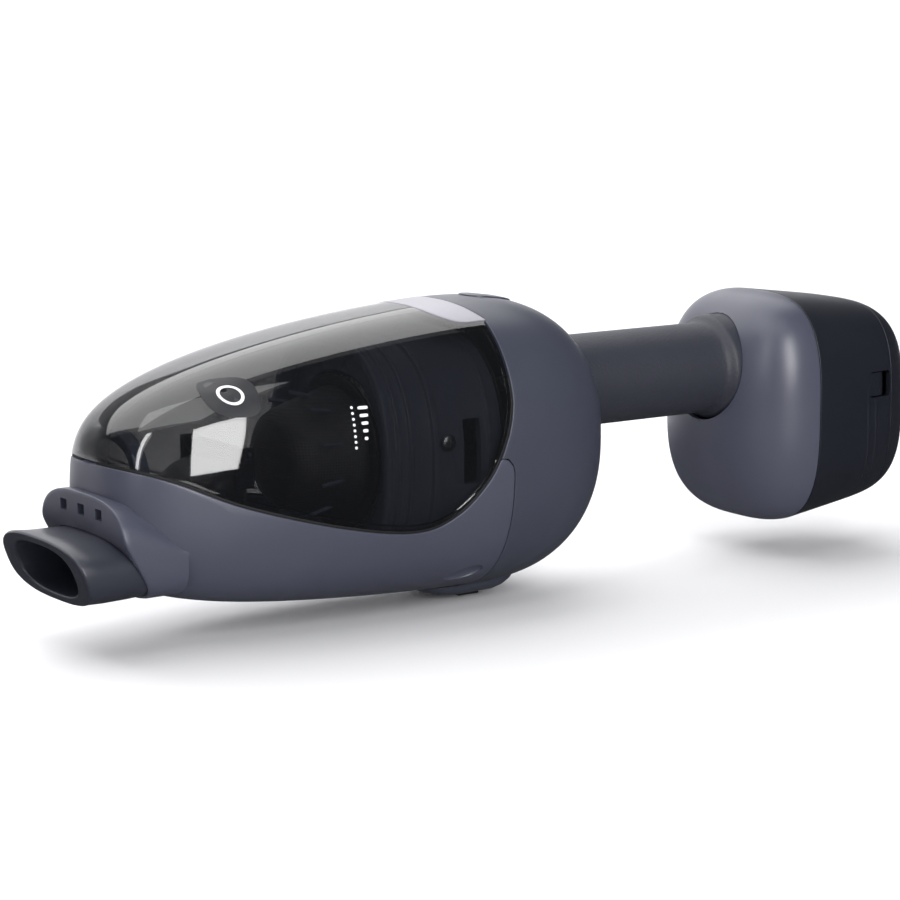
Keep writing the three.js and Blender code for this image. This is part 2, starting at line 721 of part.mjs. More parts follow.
function podPart(x0, x1, ...holes) {
  const shell = podSolid(0).subtract(podSolid(WALL));
  return cut(shell.intersect(solid(block(x0, x1, -60, 60, -90, 60))), ...holes);
}

function makeBatteryCasing() {
  const latchHoles = solid(block(LATCH_X - 6.5, LATCH_X + 6.5, -60, 60, LATCH_Z - 5.5, LATCH_Z + 5.5));
  return podPart(POD_SEAM + GAP / 2, CAP_SEAM - GAP / 2, latchHoles);
}

// A latch tab: a slice of the pod's own wall, set 0.8 mm below its surface, with a stop lip inside.
function makeLatch(side) {
  const wall = podSolid(0.8).subtract(podSolid(3.4));
  const [low, high] = side < 0 ? [-60, 0] : [0, 60];
  const window = solid(block(LATCH_X - 6.2, LATCH_X + 6.2, low, high, LATCH_Z - 5.2, LATCH_Z + 5.2));
  const lipWall = podSolid(WALL + GAP).subtract(podSolid(4));
  const lip = solid(block(LATCH_X - 6.2, LATCH_X + 6.2, low, high, LATCH_Z - 8, LATCH_Z + 8));
  return join(wall.intersect(window), lipWall.intersect(lip));
}

function makePackPlate() {
  const rings = [POD_SEAM + 1, POD_SEAM + 3].map((x) => sectionRing(x, shrunk(podSection(x), WALL + GAP)));
  const contactHole = solid(block(POD_SEAM - 2, POD_SEAM + 6, -13, 13, -26, -12));
  return solid(skin(rings)).subtract(contactHole);
}

// Six round cells stand in two rows of three between two trays.
const CELL_RADIUS = 9;
const CELL_BOTTOM = POD_MIDDLE - 32.5;
const CELL_TOP = POD_MIDDLE + 32.5;
const CELL_PITCH = 18.4;
const CELL_PLACES = [];
for (const x of [POD_SEAM + 13, POD_SEAM + 13 + CELL_PITCH]) {
  for (const row of [-1, 0, 1]) CELL_PLACES.push([x, row * CELL_PITCH]);
}

function makeCell([x, y]) {
  const can = solid(rodZ(x, y, CELL_RADIUS, CELL_BOTTOM, CELL_TOP, 16));
  return can.add(solid(rodZ(x, y, 3, CELL_TOP - 0.5, CELL_TOP + 1.2, 8)));
}

function makeCellTray(z0, z1) {
  const plate = solid(block(POD_SEAM + 4.5, POD_SEAM + 36, -23, 23, z0, z1));
  const holes = CELL_PLACES.map(([x, y]) => solid(rodZ(x, y, 4, z0 - 2, z1 + 2, 8)));
  return cut(plate, ...holes);
}

// ---------------------------------------------------------------- assembly

const pieces = new THREE.Group();

function add(name, shape, finish) {
  const geometry = shape instanceof THREE.BufferGeometry ? shape : geometryOf(shape);
  const mesh = new THREE.Mesh(geometry, new THREE.MeshStandardMaterial(FINISH[finish]));
  mesh.name = name;
  pieces.add(mesh);
}

// dust container
add("canopy", makeCanopy(), "smoked");
add("canopy_gasket", makeGasket(), "rubber");
add("lower_casing", makeLowerCasing(), "casing");
const nozzleOutside = nozzleRings(NOZZLE_STOPS, 0);
const nozzleInside = nozzleRings(BORE_STOPS, 0).reverse();
add("nozzle", skin([...nozzleOutside, ...nozzleInside], true), "casing");
add("nose_arch", makeNoseArch(), "black");
add("inlet_duct", makeInletDuct(), "black");
add("flap_pin", rodY(FLAP_X + 1, FLAP_PIN_Z, 0.8, -22, 22, 12), "steel");
add("inlet_flap", makeInletFlap(), "rubber");

// filter
add("filter_drum", makeFilterDrum(), "black");
add("prefilter_cone", makePrefilterCone(), "black");
add("fine_filter", makeFineFilter(), "fabric");
add("filter_seal", skin([
  ...[-1.7, -0.6].map((x) => sectionRing(x, shrunk(DRUM, 0.5))),
  ...[-0.6, -1.7].map((x) => sectionRing(x, shrunk(DRUM, 3.6))),
], true), "rubber");
for (const [name, side] of [["filter_screw_left", -1], ["filter_screw_right", 1]]) {
  const screw = new THREE.LatheGeometry(
    [[0, 0], [1.3, 0], [1.3, 6], [3, 6.1], [3, 7.4], [0, 7.4]].map(([r, y]) => new THREE.Vector2(r, y)), 12,
  );
  if (side < 0) screw.rotateZ(Math.PI);
  add(name, fixedWinding(screw.translate(-28, side * 36.2, -11)), "steel");
}

// motor unit
add("motor_housing", makeMotorHousing(), "housing");
add("bulkhead", makeBulkhead(), "black");
SCREW_PLACES.forEach(([y, z], i) => add(`bulkhead_screw_${i + 1}`, screwX(1.2, y, z), "steel"));
add("fan_shroud", makeFanShroud(), "black");
add("impeller", makeImpeller(), "black");
add("motor_shaft", rodX(9, 44, 2.6, 0, FAN_Z, 16), "steel");
add("motor_can", makeMotorCan(), "steel");
add("motor_mount", makeMotorMount(), "rubber");
add("exhaust_foam", block(44.6, 48.6, -17, 17, -49, -37), "foam");
add("release_button", makeReleaseButton(), "silver");
add("latch_spring", uprightSpring(2.4, 0, 22.3, 32.1, 2.2, 0.45, 4), "steel");
add("power_button", makePowerButton(), "housing");
add("power_switch", block(15.5, 22.5, -3.5, 3.5, 25.1, 29), "black");
add("control_board", block(6.6, 40, -13, 13, 21, 22.6), "board");
add("belly_foot", makeBellyFoot(), "housing");
add("foot_pad", block(1, 11, -8, 8, FOOT_BOTTOM - 1.5, FOOT_BOTTOM - GAP), "rubber");
add("grip_core", makeGripCore(), "black");
add("grip_sleeve", tubeX(GRIP_START, GRIP_END, GRIP_RADIUS - SLEEVE_WALL, GRIP_RADIUS, 0, 0), "grip");
for (const [name, y, finish] of [["lead_positive", -3, "redLead"], ["lead_negative", 3, "black"]]) {
  add(name, lead(
    [[49.5, y, -9], [58, y, -5], [72, y, 0], [110, y, 0], [142, y, 0], [152, y, -10]], 1.3, 14,
  ), finish);
}

// pod
const gripEntry = solid(rodX(120, 150, GRIP_RADIUS + GAP, 0, 0));
add("pod_front_housing", podPart(120, POD_SEAM - GAP / 2, gripEntry), "podFront");
add("terminal_block", block(151, POD_SEAM - 0.6, -12, 12, -25, -13), "black");
for (const [name, y] of [["terminal_positive", -5], ["terminal_negative", 5]]) {
  add(name, block(POD_SEAM - 0.3, POD_SEAM + 1.9, y - 2, y + 2, -22, -16), "brass");
}

// battery pack
add("battery_casing", makeBatteryCasing(), "podRear");
const SOCKET_X = POD_END - 5.5;
const SOCKET_Z = -48;
const socketHole = solid(rodX(POD_END - 12, POD_END + 5, 4.4, 0, SOCKET_Z, 16));
add("rear_cover", podPart(CAP_SEAM + GAP / 2, POD_END + 5, socketHole), "podRear");
add("charge_socket", turnedX([
  [SOCKET_X - 12, 0], [SOCKET_X - 12, 4], [SOCKET_X, 4], [SOCKET_X, 2.6], [SOCKET_X - 8, 2.6],
  [SOCKET_X - 8, 0],
], 0, SOCKET_Z, 16), "black");
add("pack_plate", makePackPlate(), "black");
add("pack_contacts", block(POD_SEAM + 2.2, POD_SEAM + 3.6, -12, 12, -25, -13), "brass");
CELL_PLACES.forEach((place, i) => add(`cell_${i + 1}`, makeCell(place), "cell"));
add("cell_tray_top", makeCellTray(CELL_TOP + GAP, CELL_TOP + 3.5), "black");
add("cell_tray_bottom", makeCellTray(CELL_BOTTOM - 3.5, CELL_BOTTOM - GAP), "black");
add("battery_board", block(POD_SEAM + 6, POD_SEAM + 33, -19, 19, CELL_TOP + 4.5, CELL_TOP + 6.1), "board");
add("battery_latch_left", makeLatch(-1), "podRear");
add("battery_latch_right", makeLatch(1), "podRear");

// Move the origin to the bottom centre of the bounding box.
const bounds = new THREE.Box3().setFromObject(pieces);
pieces.position.set(-(bounds.min.x + bounds.max.x) / 2, 0, -bounds.min.z);

const handheldVacuum = new THREE.Group();
handheldVacuum.add(pieces);

export default handheldVacuum;
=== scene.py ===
# Looks of a cordless handheld vacuum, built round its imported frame.
#
# Shapes are worked out in the design frame, in millimetres: X = 0 is the plane where the dust container
# meets the motor unit, Z = 0 is the axis of the grip, the nozzle is at -X and the battery pod at +X.
# as_object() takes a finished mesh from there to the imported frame, in metres.
import math
from collections import namedtuple

import bmesh
import bpy
from bpy.props import FloatProperty, FloatVectorProperty, PointerProperty
from mathutils import Matrix, Vector


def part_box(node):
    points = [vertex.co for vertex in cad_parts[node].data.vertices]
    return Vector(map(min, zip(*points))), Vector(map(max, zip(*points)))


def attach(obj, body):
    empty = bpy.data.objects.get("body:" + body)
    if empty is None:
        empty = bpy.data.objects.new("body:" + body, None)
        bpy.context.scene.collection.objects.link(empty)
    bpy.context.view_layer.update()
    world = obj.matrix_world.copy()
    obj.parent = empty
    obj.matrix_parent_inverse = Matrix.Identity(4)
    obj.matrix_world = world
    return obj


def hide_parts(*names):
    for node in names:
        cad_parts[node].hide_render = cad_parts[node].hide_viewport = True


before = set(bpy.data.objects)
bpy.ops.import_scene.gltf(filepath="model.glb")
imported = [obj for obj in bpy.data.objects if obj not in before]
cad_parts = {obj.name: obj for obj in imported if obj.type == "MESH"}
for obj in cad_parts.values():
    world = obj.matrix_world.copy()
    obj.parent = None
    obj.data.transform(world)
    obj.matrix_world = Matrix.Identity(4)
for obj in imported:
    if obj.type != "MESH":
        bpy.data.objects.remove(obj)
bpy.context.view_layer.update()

bl_info = {
    "name": "Handheld vacuum",
    "version": (1, 0, 0),
    "blender": (4, 5, 0),
    "location": "3D View > Sidebar > Vacuum",
    "description": "Builds the shells, fittings and finishes of a cordless handheld vacuum",
    "category": "Object",
}

MM = 0.001

# ---------------------------------------------------------------- driving dimensions, in millimetres

NOSE_LENGTH = 160
MOTOR_LENGTH = 62
BODY_TOP = 39
BODY_BOTTOM = -75.5
BODY_HALF_WIDTH = 49.5
NOSE_TOP = -14

GRIP_RADIUS = 19
GRIP_START = 51
FLARE_RADIUS = 22
POD_FRONT = 131
POD_SEAM = 162
CAP_SEAM = 207
POD_END = 227
POD_MIDDLE = -18
POD_HALF_HEIGHT = 49
POD_HALF_WIDTH = 42

FAN_Z = -18
SEAM_HALF_GAP = 0.15
EDGE_HALF_GAP = 0.55
SEAM_X = -1.6
SHARP_ANGLE = math.radians(38)
MERGE = 0.004

# The grip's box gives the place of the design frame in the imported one.
GRIP_LOW, GRIP_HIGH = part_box("grip_sleeve")
SPLIT_X = GRIP_LOW.x - GRIP_START * MM
AXIS_Z = (GRIP_LOW.z + GRIP_HIGH.z) / 2
TO_FRAME = Matrix.Translation((SPLIT_X, 0, AXIS_Z)) @ Matrix.Scale(MM, 4)


# ---------------------------------------------------------------- sections of the body and the pod

Section = namedtuple("Section", "middle top bottom half_width power")


def fall(u, inner, outer):
    """A curve that stays near 1 and falls to 0 at u = 1."""
    return max(0.0, 1 - u**inner) ** (1 / outer)


def body_section(x):
    """Superellipse section of the dust container and motor housing at X."""
    if x <= 0:
        u = min(-x / NOSE_LENGTH, 1)
        middle = -21 - 9 * u
        belly = BODY_BOTTOM + 11 * u**1.5
        return Section(
            middle,
            NOSE_TOP + (BODY_TOP - NOSE_TOP) * fall(u, 1.4, 2.6),
            middle - (middle - belly) * fall(u, 6, 4),
            BODY_HALF_WIDTH * fall(u, 2, 3.6),
            2.4 + 0.6 * u,
        )
    u = min(x / MOTOR_LENGTH, 1)
    middle = -21 + 4 * u
    return Section(
        middle,
        middle + (BODY_TOP - middle) * fall(u, 2.7, 2.4),
        middle - (middle - BODY_BOTTOM) * fall(u, 2.6, 2.2),
        BODY_HALF_WIDTH * fall(u, 2.8, 2.5),
        2.4,
    )


def pod_section(x):
    """Superellipse section of the pod at X."""
    if x <= POD_SEAM:
        size = fall(min((POD_SEAM - x) / (POD_SEAM - POD_FRONT), 1), 2.3, 2.3)
    else:
        v = min((x - POD_SEAM) / (POD_END - POD_SEAM), 1)
        size = (1 - 0.17 * v) * fall(v, 9, 2.6)
    reach = POD_HALF_HEIGHT * size
    return Section(POD_MIDDLE, POD_MIDDLE + reach, POD_MIDDLE - reach, POD_HALF_WIDTH * size, 3.1)


def on_section(section, x, angle):
    """Point of a section at an angle from +Y, turning towards +Z."""
    c, s = math.cos(angle), math.sin(angle)
    reach = section.top - section.middle if s > 0 else section.middle - section.bottom
    y = math.copysign(abs(c) ** (2 / section.power), c) * section.half_width
    z = section.middle + math.copysign(abs(s) ** (2 / section.power), s) * reach
    return Vector((x, y, z))


def skin_point(section_of, x, angle, lift=0.0):
    """Point on a lofted skin, lifted along its outward normal."""
    point = on_section(section_of(x), x, angle)
    if lift == 0:
        return point
    step, turn = 0.1, 0.004
    along = on_section(section_of(x + step), x, angle) - on_section(section_of(x - step), x, angle)
    along.x = 2 * step
    section = section_of(x)
    around = on_section(section, x, angle + turn) - on_section(section, x, angle - turn)
    return point + lift * around.cross(along).normalized()


def angle_at(section, z):
    """Angle on the +Y side, from -90 to 90 degrees, where a section reaches height z."""
    rise = z - section.middle
    reach = section.top - section.middle if rise > 0 else section.middle - section.bottom
    share = min(abs(rise) / max(reach, 1e-6), 1)
    return math.copysign(math.asin(share ** (section.power / 2)), rise)


def angle_over(section, y):
    """Angle on the upper half, from 0 to 180 degrees, where a section is at y."""
    share = min(abs(y) / section.half_width, 1) ** (section.power / 2)
    return math.acos(math.copysign(share, y))


def on_top(x, y, lift=0.0):
    return skin_point(body_section, x, angle_over(body_section(x), y), lift)


def belly_height(x, y):
    section = body_section(x)
    return on_section(section, x, -angle_over(section, y)).z


# ---------------------------------------------------------------- split lines in side view

# Lower edge of the canopy, from the nose back to the split plane, as (x, z).
CANOPY_EDGE = [
    (-175, -9.5), (-158, -11), (-141, -16), (-115, -27), (-75, -38.4), (-45, -43), (-28, -38.5),
    (-14, -26.5), (-6.5, -14), (-2.2, -1), (-1.1, 12), (-1.1, 60),
]
EDGE_TOP = 12
SEAM_TOP = -18.2
# Casing to motor housing: along under the canopy's edge, round a small corner, then down.
SEAM_CORNER = [(-4.2, -19.2), (-2.4, -21.4), (SEAM_X, -24.5)]


def smooth_line(points, steps=40):
    """A curve through points, as closely spaced (x, z) places with their directions."""
    line = []
    for i in range(len(points) - 1):
        p0, p1 = Vector(points[max(i - 1, 0)]), Vector(points[i])
        p2, p3 = Vector(points[i + 1]), Vector(points[min(i + 2, len(points) - 1)])
        v0, v1 = (p2 - p0) / 2, (p3 - p1) / 2
        for k in range(steps):
            w = k / steps
            a, b = 2 * p1 - 2 * p2 + v0 + v1, -3 * p1 + 3 * p2 - 2 * v0 - v1
            line.append((a * w**3 + b * w**2 + v0 * w + p1, (3 * a * w + 2 * b) * w + v0))
    return line


def edge_line(offset):
    """The canopy's edge up to where it turns over the top, moved towards the canopy by offset."""
    line = []
    for place, way in smooth_line(CANOPY_EDGE):
        way = way.normalized()
        moved = Vector((place.x - way.y * offset, place.y + way.x * offset))
        if moved.x >= -NOSE_LENGTH and moved.y <= EDGE_TOP:
            line.append(moved)
    return line


def lengths_of(line):
    """Distance of each point of a line from its start."""
    total = [0.0]
    for a, b in zip(line, line[1:]):
        total.append(total[-1] + (b - a).length)
    return total


def along_line(line, lengths, share):
    """Point at a share of the way along a line."""
    want = share * lengths[-1]
    i = next((k for k in range(1, len(line)) if lengths[k] >= want), len(line) - 1)
    span = max(lengths[i] - lengths[i - 1], 1e-9)
    return line[i - 1].lerp(line[i], min((want - lengths[i - 1]) / span, 1))


def eased(u, close=0.15):
    """A share from 0 to 1 that starts in very small steps, for a blunt nose."""
    return u**3 * (1 + close**2) / (u**2 + close**2)


def nose_crossing(offset):
    """X near the nose where the body's top comes up to the canopy's edge."""
    height = edge_line(offset)[0].y
    low, high = -NOSE_LENGTH, -NOSE_LENGTH + 3
    for _ in range(40):
        x = (low + high) / 2
        low, high = (x, high) if body_section(x).top < height else (low, x)
    return Vector((high, height))


# ---------------------------------------------------------------- mesh tools


def tidied(bm):
    bmesh.ops.remove_doubles(bm, verts=bm.verts, dist=MERGE)
    bmesh.ops.dissolve_degenerate(bm, edges=bm.edges, dist=MERGE / 4)
    bmesh.ops.delete(bm, geom=[e for e in bm.edges if e.is_wire], context="EDGES")
    bmesh.ops.recalc_face_normals(bm, faces=bm.faces)
    return bm


def loft(rings, sides, closed_ends=False):
    """A skin over rings. A ring takes a share of the way round, from 0 to 1, and gives a point."""
    bm = bmesh.new()
    last = len(rings) - 1
    bmesh.ops.create_grid(bm, x_segments=last, y_segments=sides, size=0.5)
    for vert in bm.verts:
        vert.co = rings[round((vert.co.x + 0.5) * last)](vert.co.y + 0.5)
    bmesh.ops.remove_doubles(bm, verts=bm.verts, dist=MERGE)
    if closed_ends:
        bmesh.ops.holes_fill(bm, edges=[e for e in bm.edges if e.is_boundary], sides=0)
    return tidied(bm)


def section_ring(section_of, x, lift=0.0, placed_x=None, lift_at=None):
    """A full ring of a lofted skin. lift_at adds to the lift at each angle."""

    def ring(share):
        angle = math.tau * share
        extra = lift_at(x, angle) if lift_at else 0
        point = skin_point(section_of, x, angle, lift + extra)
        if placed_x is not None:
            point.x += placed_x - x
        return point

    return ring


def flat_ring(section, x):
    """A ring of a plain section at X."""
    return lambda share: on_section(section, x, math.tau * share)


def shrunk(section, by):
    return section._replace(
        top=section.top - by, bottom=section.bottom + by, half_width=section.half_width - by
    )


def leaning_ring(x, z, half_width, half_height, lean, power):
    """A superellipse ring in a plane that leans in side view and runs straight across."""

    def ring(share):
        c, s = math.cos(math.tau * share), math.sin(math.tau * share)
        across = math.copysign(abs(c) ** (2 / power), c) * half_width
        along = math.copysign(abs(s) ** (2 / power), s) * half_height
        return Vector((x + along * lean[0], across, z + along * lean[1]))

    return ring


def turned(profile, y=0.0, z=0.0, steps=72):
    """A piece turned about a line along X, from (x, radius) pairs."""
    bm = bmesh.new()
    verts = [bm.verts.new((x, y, z + radius)) for x, radius in profile]
    for a, b in zip(verts, verts[1:]):
        bm.edges.new((a, b))
    geometry = bm.verts[:] + bm.edges[:]
    bmesh.ops.spin(
        bm, geom=geometry, cent=(0, y, z), axis=(1, 0, 0), angle=math.tau, steps=steps, use_merge=True
    )
    return tidied(bm)


def rod(x0, x1, radius, y=0.0, z=0.0, steps=72):
    return turned([(x0, 0), (x0, radius), (x1, radius), (x1, 0)], y, z, steps)


def block(x0, x1, y0, y1, z0, z1, corner=0.0):
    """A box with its corners rounded by corner."""
    bm = bmesh.new()
    bmesh.ops.create_cube(bm, size=1)
    bmesh.ops.scale(bm, vec=(abs(x1 - x0), abs(y1 - y0), abs(z1 - z0)), verts=bm.verts)
    bmesh.ops.translate(bm, vec=((x0 + x1) / 2, (y0 + y1) / 2, (z0 + z1) / 2), verts=bm.verts)
    if corner:
        bmesh.ops.bevel(
            bm, geom=bm.edges[:], offset=corner, segments=3, profile=0.5, affect="EDGES", material=-1
        )
    return bm


def post(x, z0, z1, radius):
    """An upright round bar on the middle plane."""
    bm = bmesh.new()
    bmesh.ops.create_cone(
        bm, cap_ends=True, cap_tris=False, segments=48, radius1=radius, radius2=radius, depth=z1 - z0
    )
    bmesh.ops.translate(bm, vec=(x, 0, (z0 + z1) / 2), verts=bm.verts)
    return bm


def turned_to_side(bm, x, z, side):
    """Turns a piece made along +X from x = 0 to stand along Y at (x, z), outwards on that side."""
    turn = Matrix.Translation((x, 0, z)) @ Matrix.Rotation(side * math.pi / 2, 4, "Z")
    bmesh.ops.transform(bm, matrix=turn, verts=bm.verts)
    return bm


def merged(first, *others):
    """One bmesh of several."""
    for other in others:
        mesh = bpy.data.meshes.new("part")
        other.to_mesh(mesh)
        other.free()
        first.from_mesh(mesh)
        bpy.data.meshes.remove(mesh)
    return first


def as_object(name, bm):
    """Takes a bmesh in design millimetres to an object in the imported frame."""
    bmesh.ops.transform(bm, matrix=TO_FRAME, verts=bm.verts)
    mesh = bpy.data.meshes.new(name)
    bm.to_mesh(mesh)
    bm.free()
    made = bpy.data.objects.new(name, mesh)
    bpy.context.scene.collection.objects.link(made)
    return made


def baked(piece, tools):
    """Applies a piece's modifiers and removes the tools that they used."""
    graph = bpy.context.evaluated_depsgraph_get()
    final = bpy.data.meshes.new_from_object(piece.evaluated_get(graph))
    rough = piece.data
    piece.modifiers.clear()
    piece.data = final
    final.name = piece.name
    bpy.data.meshes.remove(rough)
    for tool in tools:
        mesh = tool.data
        bpy.data.objects.remove(tool)
        bpy.data.meshes.remove(mesh)


def make_piece(name, bm, finish, body, replaces=(), wall=0.0, edge=0.0, joins=(), cuts=()):
    """Finishes a piece: wall and rounded edges, joins and cuts, its material and body."""
    piece = as_object(name, bm)
    if wall:
        thicken = piece.modifiers.new("Wall", "SOLIDIFY")
        thicken.thickness = wall * MM
        thicken.offset = -1
    if edge:
        soften = piece.modifiers.new("Edge", "BEVEL")
        soften.limit_method = "ANGLE"
        soften.angle_limit = math.radians(50)
        soften.width = edge * MM
        soften.segments = 3
        soften.use_clamp_overlap = False
    tools = []
    for operation, shapes in (("UNION", joins), ("DIFFERENCE", cuts)):
        for shape in shapes:
            tool = as_object(f"{name}_tool", shape)
            tools.append(tool)
            trim = piece.modifiers.new(operation, "BOOLEAN")
            trim.operation = operation
            trim.solver = "MANIFOLD"
            trim.object = tool
    baked(piece, tools)
    piece.data.shade_smooth()
    piece.data.set_sharp_from_angle(angle=SHARP_ANGLE)
    piece.data.materials.clear()
    piece.data.materials.append(finish)
    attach(piece, body)
    if replaces:
        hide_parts(*replaces)
    return piece


# ---------------------------------------------------------------- materials


def linear(colour):
    """Linear RGB of an sRGB hex colour."""
    shares = [int(colour[i : i + 2], 16) / 255 for i in (1, 3, 5)]
    return tuple(c / 12.92 if c <= 0.04045 else ((c + 0.055) / 1.055) ** 2.4 for c in shares)


def add_node(tree, kind, inputs=None, **settings):
    """Adds a node with its settings; an input is a value or another node's output."""
    made = tree.nodes.new(kind)
    for name, value in settings.items():
        setattr(made, name, value)
    for name, value in (inputs or {}).items():
        if isinstance(value, bpy.types.NodeSocket):
            tree.links.new(value, made.inputs[name])
        else:
            made.inputs[name].default_value = value
    return made


def with_alpha(colour):
    return (*colour, 1.0)


def material_of(name, build, *values):
    """The material of that name, built once."""
    if name not in bpy.data.materials:
        material = bpy.data.materials.new(name)
        material.use_nodes = True
        material.node_tree.nodes.clear()
        shader = build(material.node_tree, *values)
        add_node(material.node_tree, "ShaderNodeOutputMaterial", {"Surface": shader.outputs[0]})
    return bpy.data.materials[name]


def varied(tree, place, colour, size, spread):
    """A colour that drifts a little over patches of that size, as moulded plastic does."""
    drift = add_node(tree, "ShaderNodeTexNoise", {"Vector": place, "Scale": 1 / size, "Detail": 3.0})
    value = add_node(
        tree, "ShaderNodeMapRange",
        {"Value": drift.outputs["Fac"], "From Min": 0.3, "From Max": 0.7, "To Min": 1 - spread,
         "To Max": 1 + spread},
    )
    return add_node(
        tree, "ShaderNodeHueSaturation",
        {"Color": with_alpha(colour), "Value": value.outputs["Result"]},
    ).outputs["Color"]


def moulded_plastic(tree, colour, roughness, grain, depth):
    """ABS from a spark-eroded tool: a fine even grain, worn smoother on patches and proud edges."""
    place = add_node(tree, "ShaderNodeTexCoord").outputs["Object"]
    sparks = add_node(tree, "ShaderNodeTexNoise", {"Vector": place, "Scale": 1 / grain, "Detail": 3.0})
    handled = add_node(tree, "ShaderNodeTexNoise", {"Vector": place, "Scale": 1 / 0.03, "Detail": 4.0})
    edges = add_node(tree, "ShaderNodeNewGeometry").outputs["Pointiness"]
    worn = add_node(
        tree, "ShaderNodeMapRange",
        {"Value": edges, "From Min": 0.5, "From Max": 0.62, "To Min": 0.0, "To Max": -0.12},
    )
    patchy = add_node(
        tree, "ShaderNodeMapRange",
        {"Value": handled.outputs["Fac"], "From Min": 0.3, "From Max": 0.7,
         "To Min": roughness - 0.04, "To Max": roughness + 0.04},
    )
    gloss = add_node(
        tree, "ShaderNodeMath", {0: patchy.outputs["Result"], 1: worn.outputs["Result"]}, operation="ADD"
    )
    relief = add_node(
        tree, "ShaderNodeBump",
        {"Height": sparks.outputs["Fac"], "Strength": 0.35, "Distance": depth},
    )
    return add_node(
        tree, "ShaderNodeBsdfPrincipled",
        {"Base Color": varied(tree, place, colour, 0.06, 0.035), "Roughness": gloss.outputs[0],
         "IOR": 1.53, "Normal": relief.outputs["Normal"]},
    )


def smoked_polycarbonate(tree, colour):
    """Smoke-tinted polycarbonate, polished in the tool: a hard gloss over a dark see-through."""
    place = add_node(tree, "ShaderNodeTexCoord").outputs["Object"]
    turn = add_node(tree, "ShaderNodeLayerWeight", {"Blend": 0.35})
    hide = add_node(
        tree, "ShaderNodeMapRange",
        {"Value": turn.outputs["Facing"], "From Min": 0.0, "From Max": 0.8, "To Min": 0.5,
         "To Max": 0.97},
    )
    # Light that reaches the inside is scattered about there, so shadows of the canopy are weak.
    rays = add_node(tree, "ShaderNodeLightPath")
    shadow = add_node(
        tree, "ShaderNodeMapRange",
        {"Value": rays.outputs["Is Shadow Ray"], "To Min": 1.0, "To Max": 0.25},
    )
    cover = add_node(
        tree, "ShaderNodeMath", {0: hide.outputs["Result"], 1: shadow.outputs["Result"]},
        operation="MULTIPLY",
    )
    rubbed = add_node(tree, "ShaderNodeTexNoise", {"Vector": place, "Scale": 1 / 0.02, "Detail": 5.0})
    gloss = add_node(
        tree, "ShaderNodeMapRange",
        {"Value": rubbed.outputs["Fac"], "From Min": 0.35, "From Max": 0.75, "To Min": 0.02,
         "To Max": 0.055},
    )
    # Alpha takes away part of the gloss as well; the specular level puts it back.
    return add_node(
        tree, "ShaderNodeBsdfPrincipled",
        {"Base Color": with_alpha(colour), "Roughness": gloss.outputs["Result"], "IOR": 1.585,
         "Specular IOR Level": 0.8, "Alpha": cover.outputs[0]},
    )


def silver_paint(tree, colour):
    """Silver lacquer over ABS: fine flakes under a satin coat."""
    place = add_node(tree, "ShaderNodeTexCoord").outputs["Object"]
    flakes = add_node(tree, "ShaderNodeTexVoronoi", {"Vector": place, "Scale": 1 / 0.0006})
    sparkle = add_node(
        tree, "ShaderNodeMapRange",
        {"Value": flakes.outputs["Distance"], "To Min": 0.96, "To Max": 1.04},
    )
    tone = add_node(
        tree, "ShaderNodeHueSaturation",
        {"Color": with_alpha(colour), "Value": sparkle.outputs["Result"]},
    )
    relief = add_node(
        tree, "ShaderNodeBump",
        {"Height": flakes.outputs["Distance"], "Strength": 0.1, "Distance": 0.00004},
    )
    return add_node(
        tree, "ShaderNodeBsdfPrincipled",
        {"Base Color": tone.outputs["Color"], "Metallic": 0.2, "Roughness": 0.42, "Coat Weight": 0.1,
         "Coat Roughness": 0.3, "Normal": relief.outputs["Normal"]},
    )


def rubber(tree, colour):
    """Nitrile rubber, moulded: nearly matt, with a faint bloom in patches."""
    place = add_node(tree, "ShaderNodeTexCoord").outputs["Object"]
    bloom = add_node(tree, "ShaderNodeTexNoise", {"Vector": place, "Scale": 1 / 0.0015, "Detail": 4.0})
    relief = add_node(
        tree, "ShaderNodeBump",
        {"Height": bloom.outputs["Fac"], "Strength": 0.4, "Distance": 0.00008},
    )
    return add_node(
        tree, "ShaderNodeBsdfPrincipled",
        {"Base Color": varied(tree, place, colour, 0.008, 0.12), "Roughness": 0.72, "IOR": 1.52,
         "Normal": relief.outputs["Normal"]},
    )


def woven_mesh(tree, colour):
    """Woven filter mesh: crossed wires with dark pores. Real pores are 0.2 mm; these are 1.1 mm."""
    place = add_node(tree, "ShaderNodeTexCoord").outputs["Object"]
    pitch = 0.0011
    warp = add_node(
        tree, "ShaderNodeTexWave", {"Vector": place, "Scale": 0.314 / pitch}, bands_direction="X"
    )
    weft = add_node(
        tree, "ShaderNodeTexWave", {"Vector": place, "Scale": 0.314 / pitch}, bands_direction="Z"
    )
    height = add_node(
        tree, "ShaderNodeMath", {0: warp.outputs["Fac"], 1: weft.outputs["Fac"]}, operation="MAXIMUM"
    )
    value = add_node(
        tree, "ShaderNodeMapRange",
        {"Value": height.outputs[0], "From Min": 0.3, "From Max": 0.9, "To Min": 0.25, "To Max": 1.5},
    )
    tone = add_node(
        tree, "ShaderNodeHueSaturation", {"Color": with_alpha(colour), "Value": value.outputs["Result"]}
    )
    relief = add_node(
        tree, "ShaderNodeBump", {"Height": height.outputs[0], "Strength": 0.6, "Distance": 0.0003}
    )
    return add_node(
        tree, "ShaderNodeBsdfPrincipled",
        {"Base Color": tone.outputs["Color"], "Roughness": 0.45, "Normal": relief.outputs["Normal"]},
    )


